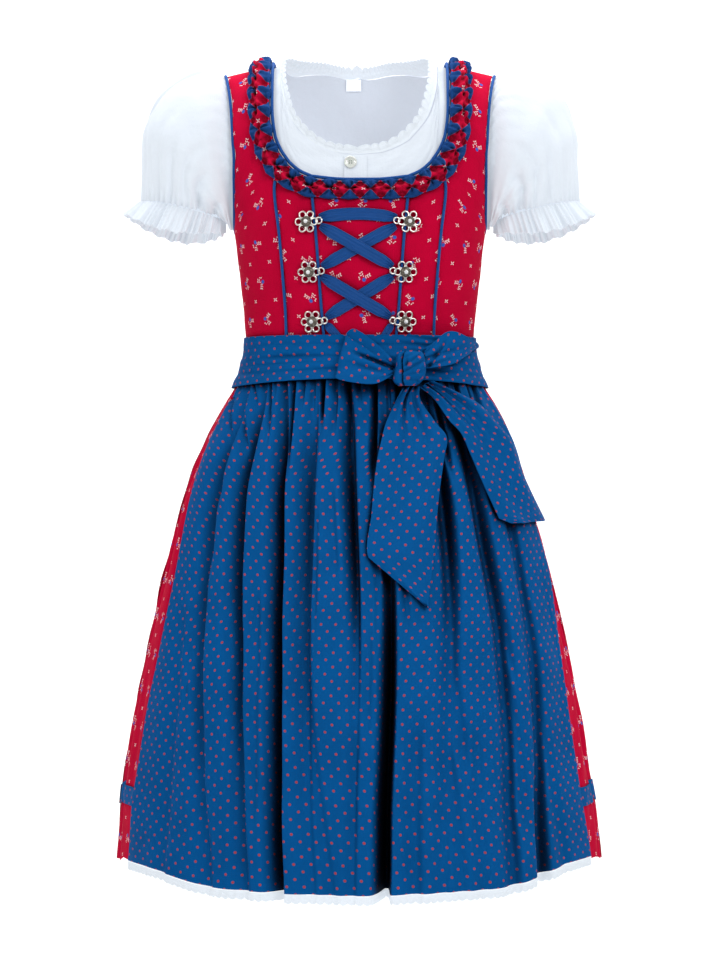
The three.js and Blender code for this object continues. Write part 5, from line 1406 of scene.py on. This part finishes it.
hooks = table("z right left", (-148.6, -46.3, 42.6), (-191.9, -43.8, 39), (-235.5, -41, 38.6))
hook = dict(petals=6, petalPlace=6.9, petalRadius=2.9, wire=0.7, beads=20, ball=1.9)

def wireRing(centre, radius, wire, turnFrom=0.0, turnTo=2 * pi, spans=18, sides=8, height=0.9):
    closed = abs(turnTo - turnFrom - 2 * pi) < 1e-6
    t = np.linspace(turnFrom, turnTo, spans + 1)[:spans if closed else None]
    ring = []
    for angle in t:
        ray = np.array([math.cos(angle), math.sin(angle), 0])
        here = np.array([centre[0], centre[1], height]) + ray * radius
        ring.append([here + wire * (ray * math.cos(q) + np.array([0, 0, 1]) * math.sin(q))
                     for q in np.arange(sides) / sides * 2 * pi])
    return ringBody(ring, closed)

def ballBody(centre, radius, sides=12, flat=1.0):
    turns = np.linspace(0.06, pi - 0.06, 8)
    points, faces = turnedBody([(radius * math.sin(t), -radius * math.cos(t) * flat) for t in turns], sides)
    return points + np.array(centre), faces

def hookParts(towards):
    wires, rosette = [], []
    for angle in np.arange(hook["petals"]) / hook["petals"] * 2 * pi:
        centre = (hook["petalPlace"] * math.cos(angle), hook["petalPlace"] * math.sin(angle))
        wires.append(wireRing(centre, hook["petalRadius"], hook["wire"], height=1.0))
        between = angle + pi / 6
        wires.append(ballBody((4.9 * math.cos(between), 4.9 * math.sin(between), 1.2), 0.7, 8))
    plate = [(0.02, 0.2), (4.6, 0.2), (4.9, 0.7), (4.6, 1.2), (4.2, 1.5), (3.6, 2.2), (2.7, 2.8), (1.9, 3.1),
             (0.02, 3.2)]
    rosette.append(turnedBody(plate, 30))
    for k in range(hook["beads"]):  # the rosette's two rows of grains
        angle = k / hook["beads"] * 2 * pi
        rosette.append(ballBody((4.3 * math.cos(angle), 4.3 * math.sin(angle), 1.7), 0.6, 7))
    for k in range(9):
        angle = (k + 0.5) / 9 * 2 * pi
        rosette.append(ballBody((2.9 * math.cos(angle), 2.9 * math.sin(angle), 2.65), 0.75, 7))
    # the eye at the side, through which the ribbon runs
    wires.append(wireRing((towards * 11.2, 0.8), 2.7, 0.66, 0, 2 * pi, 18, 8, 0.8))
    groups = ((wires, 0), ([ballBody((0, 0, 4.1), hook["ball"], 18)], 1), (rosette, 2))
    return [(points, faces, index) for bodies, index in groups for points, faces in bodies]

def makeHooks():
    for row, name in enumerate(("top", "middle", "low")):
        for wearer, towards in (("right", 1), ("left", -1)):
            here, axes = spotFrame(hooks[wearer][row], hooks["z"][row], trimLift + 1.3)
            parts = [(points @ axes + here, faces, index) for points, faces, index in hookParts(towards)]
            piece = joined(f"hook.{name}.{wearer}", parts, [silver, ballPaintedReflection, blackened])
            finishPiece(piece, [f"hook_{name}_{wearer}"])

stretches = [
    dict(name="lace_bar", start=(-35.5, -145), end=(32, -145.4), bow=3),
    dict(name="lace_cross_top_over", start=(-34.5, -152.5), end=(28.2, -187.5), over=3.2),
    dict(name="lace_cross_top_under", start=(31, -152.5), end=(-33, -187.5)),
    dict(name="lace_cross_low_over", start=(-33.5, -195.8), end=(26.2, -231.5), over=3.2),
    dict(name="lace_cross_low_under", start=(28.2, -195.8), end=(-29, -231.5)),
    dict(name="lace_end_right", start=(-29, -238), end=(-15, -254), wide=7.0),
    dict(name="lace_end_left", start=(27.5, -238), end=(16, -256), wide=6.0),
]
lacing = dict(low=2.3, thick=0.7, drawnIn=0.4, across=16)

def makeLacing(name, start, end, over=0.0, bow=0.0, wide=10.5):
    spans = max(12, round(math.dist(start, end) / 2))
    t = np.linspace(0, 1, spans + 1)
    middle = np.sin(pi * t)
    acrossX, downZ = mix(start[0], end[0], t), mix(start[1], end[1], t) + bow * middle
    places = np.array([place(x, z) for x, z in zip(acrossX, downZ)])
    half = wide / 2 * mix(lacing["drawnIn"], 1, np.minimum(1, 2.2 * middle) ** 0.8)
    points, out, across = frames(places, lacing["low"])
    w = np.linspace(-1, 1, lacing["across"] + 1)[None, :]
    # the ribbon crumples lengthwise where the hook draws it in, and bows across its width
    drawn = (1 - np.minimum(1, 2.2 * middle))[:, None]
    crumple = (0.9 * np.cos(w * 3.5 * pi + 0.4) * (0.3 + 0.7 * drawn) + 0.3 * (1 - w**2)
               + 0.2 * np.sin(w * 5 + t[:, None] * 6))
    rise = lacing["thick"] + 0.7 + (over * middle)[:, None] + np.clip(crumple, -0.5, 1.2)
    grid = points[:, None] + across[:, None] * (half[:, None] * w)[..., None] + out[:, None] * rise[..., None]
    outward = np.sign((normalsOf(grid) * out[:, None]).sum())
    pieceName = "".join(word.capitalize() if k else word for k, word in enumerate(name.split("_")))
    piece = shell(pieceName, grid, clothUv(grid), [blueRibbon, blueRibbon], lacing["thick"], outward=outward)
    finishPiece(piece, [name], cutOf(grid))

makeHooks()
for stretch in stretches:
    makeLacing(**stretch)
print("hooks and lacing made")

# Floor, light and camera.

def makeStage():
    floorZ, wallY, bend = -1100, 2600, 900
    turns = np.linspace(0, pi / 2, 12)
    curve = [(wallY - bend + bend * math.sin(t), floorZ + bend - bend * math.cos(t)) for t in turns]
    profile = [(-6000, floorZ)] + curve + [(wallY, 5000)]
    points = [(x, y, z) for y, z in profile for x in (-7000, 7000)]
    faces = [[2 * k, 2 * k + 1, 2 * k + 3, 2 * k + 2] for k in range(len(profile) - 1)]
    # seamless studio paper: matt, faintly grained
    material, shader = newMaterial("palePaperRoll", Roughness=0.9)
    where = addNode(material, "TexCoord", out="Object")
    grain = addNode(material, "TexNoise", {"Vector": where, "Scale": 300.0})
    shades = {"Factor": grain, 6: toLinear("#f4f4f4"), 7: toLinear("#fbfbfb")}
    feed(material, shader, Base_Color=addNode(material, "Mix", shades, **colourMix))
    floor = makePiece("studioFloor", np.array(points, float), faces, materials=[material])

def makeLight(name, location, target, size, power):
    data = bpy.data.lights.new(name, "AREA")
    data.size, data.energy = size, power
    light = bpy.data.objects.new(name, data)
    bpy.context.scene.collection.objects.link(light)
    light.location = location
    x, y, z = [float(b - a) for a, b in zip(location, target)]  # the way it shines, along its own -Z
    light.rotation_euler = (math.atan2(math.hypot(x, y), -z), 0, math.atan2(y, x) - pi / 2)

def makeCamera():
    camera = dict(distance=2.4, height=-0.375, lens=99.0)
    data = bpy.data.cameras.new("camera")
    data.lens, data.sensor_width = camera["lens"], 36.0
    holder = bpy.data.objects.new("camera", data)
    bpy.context.scene.collection.objects.link(holder)
    holder.location = (0, -camera["distance"], camera["height"])
    holder.rotation_euler = (pi / 2, 0, 0)
    data.clip_start, data.clip_end = 0.05, 60
    bpy.context.scene.camera = holder

makeStage()
makeLight("softboxLeft", (-1.7, -2.2, 0.7), (0, 0, -0.35), 0.8, 21)
makeLight("softboxRight", (1.3, -2.4, 0.9), (0, 0, -0.35), 1.2, 38)
makeLight("backdropLight", (0, 0.9, 1.6), (0, 2.6, -0.4), 3.0, 110)
world = bpy.data.worlds.new("studio")
world.use_nodes = True
world.node_tree.nodes["Background"].inputs["Color"].default_value = (1, 1, 1, 1)
world.node_tree.nodes["Background"].inputs["Strength"].default_value = 0.12
bpy.context.scene.world = world
bpy.context.scene.view_settings.view_transform = "Standard"
makeCamera()
print("stage, light and camera made")
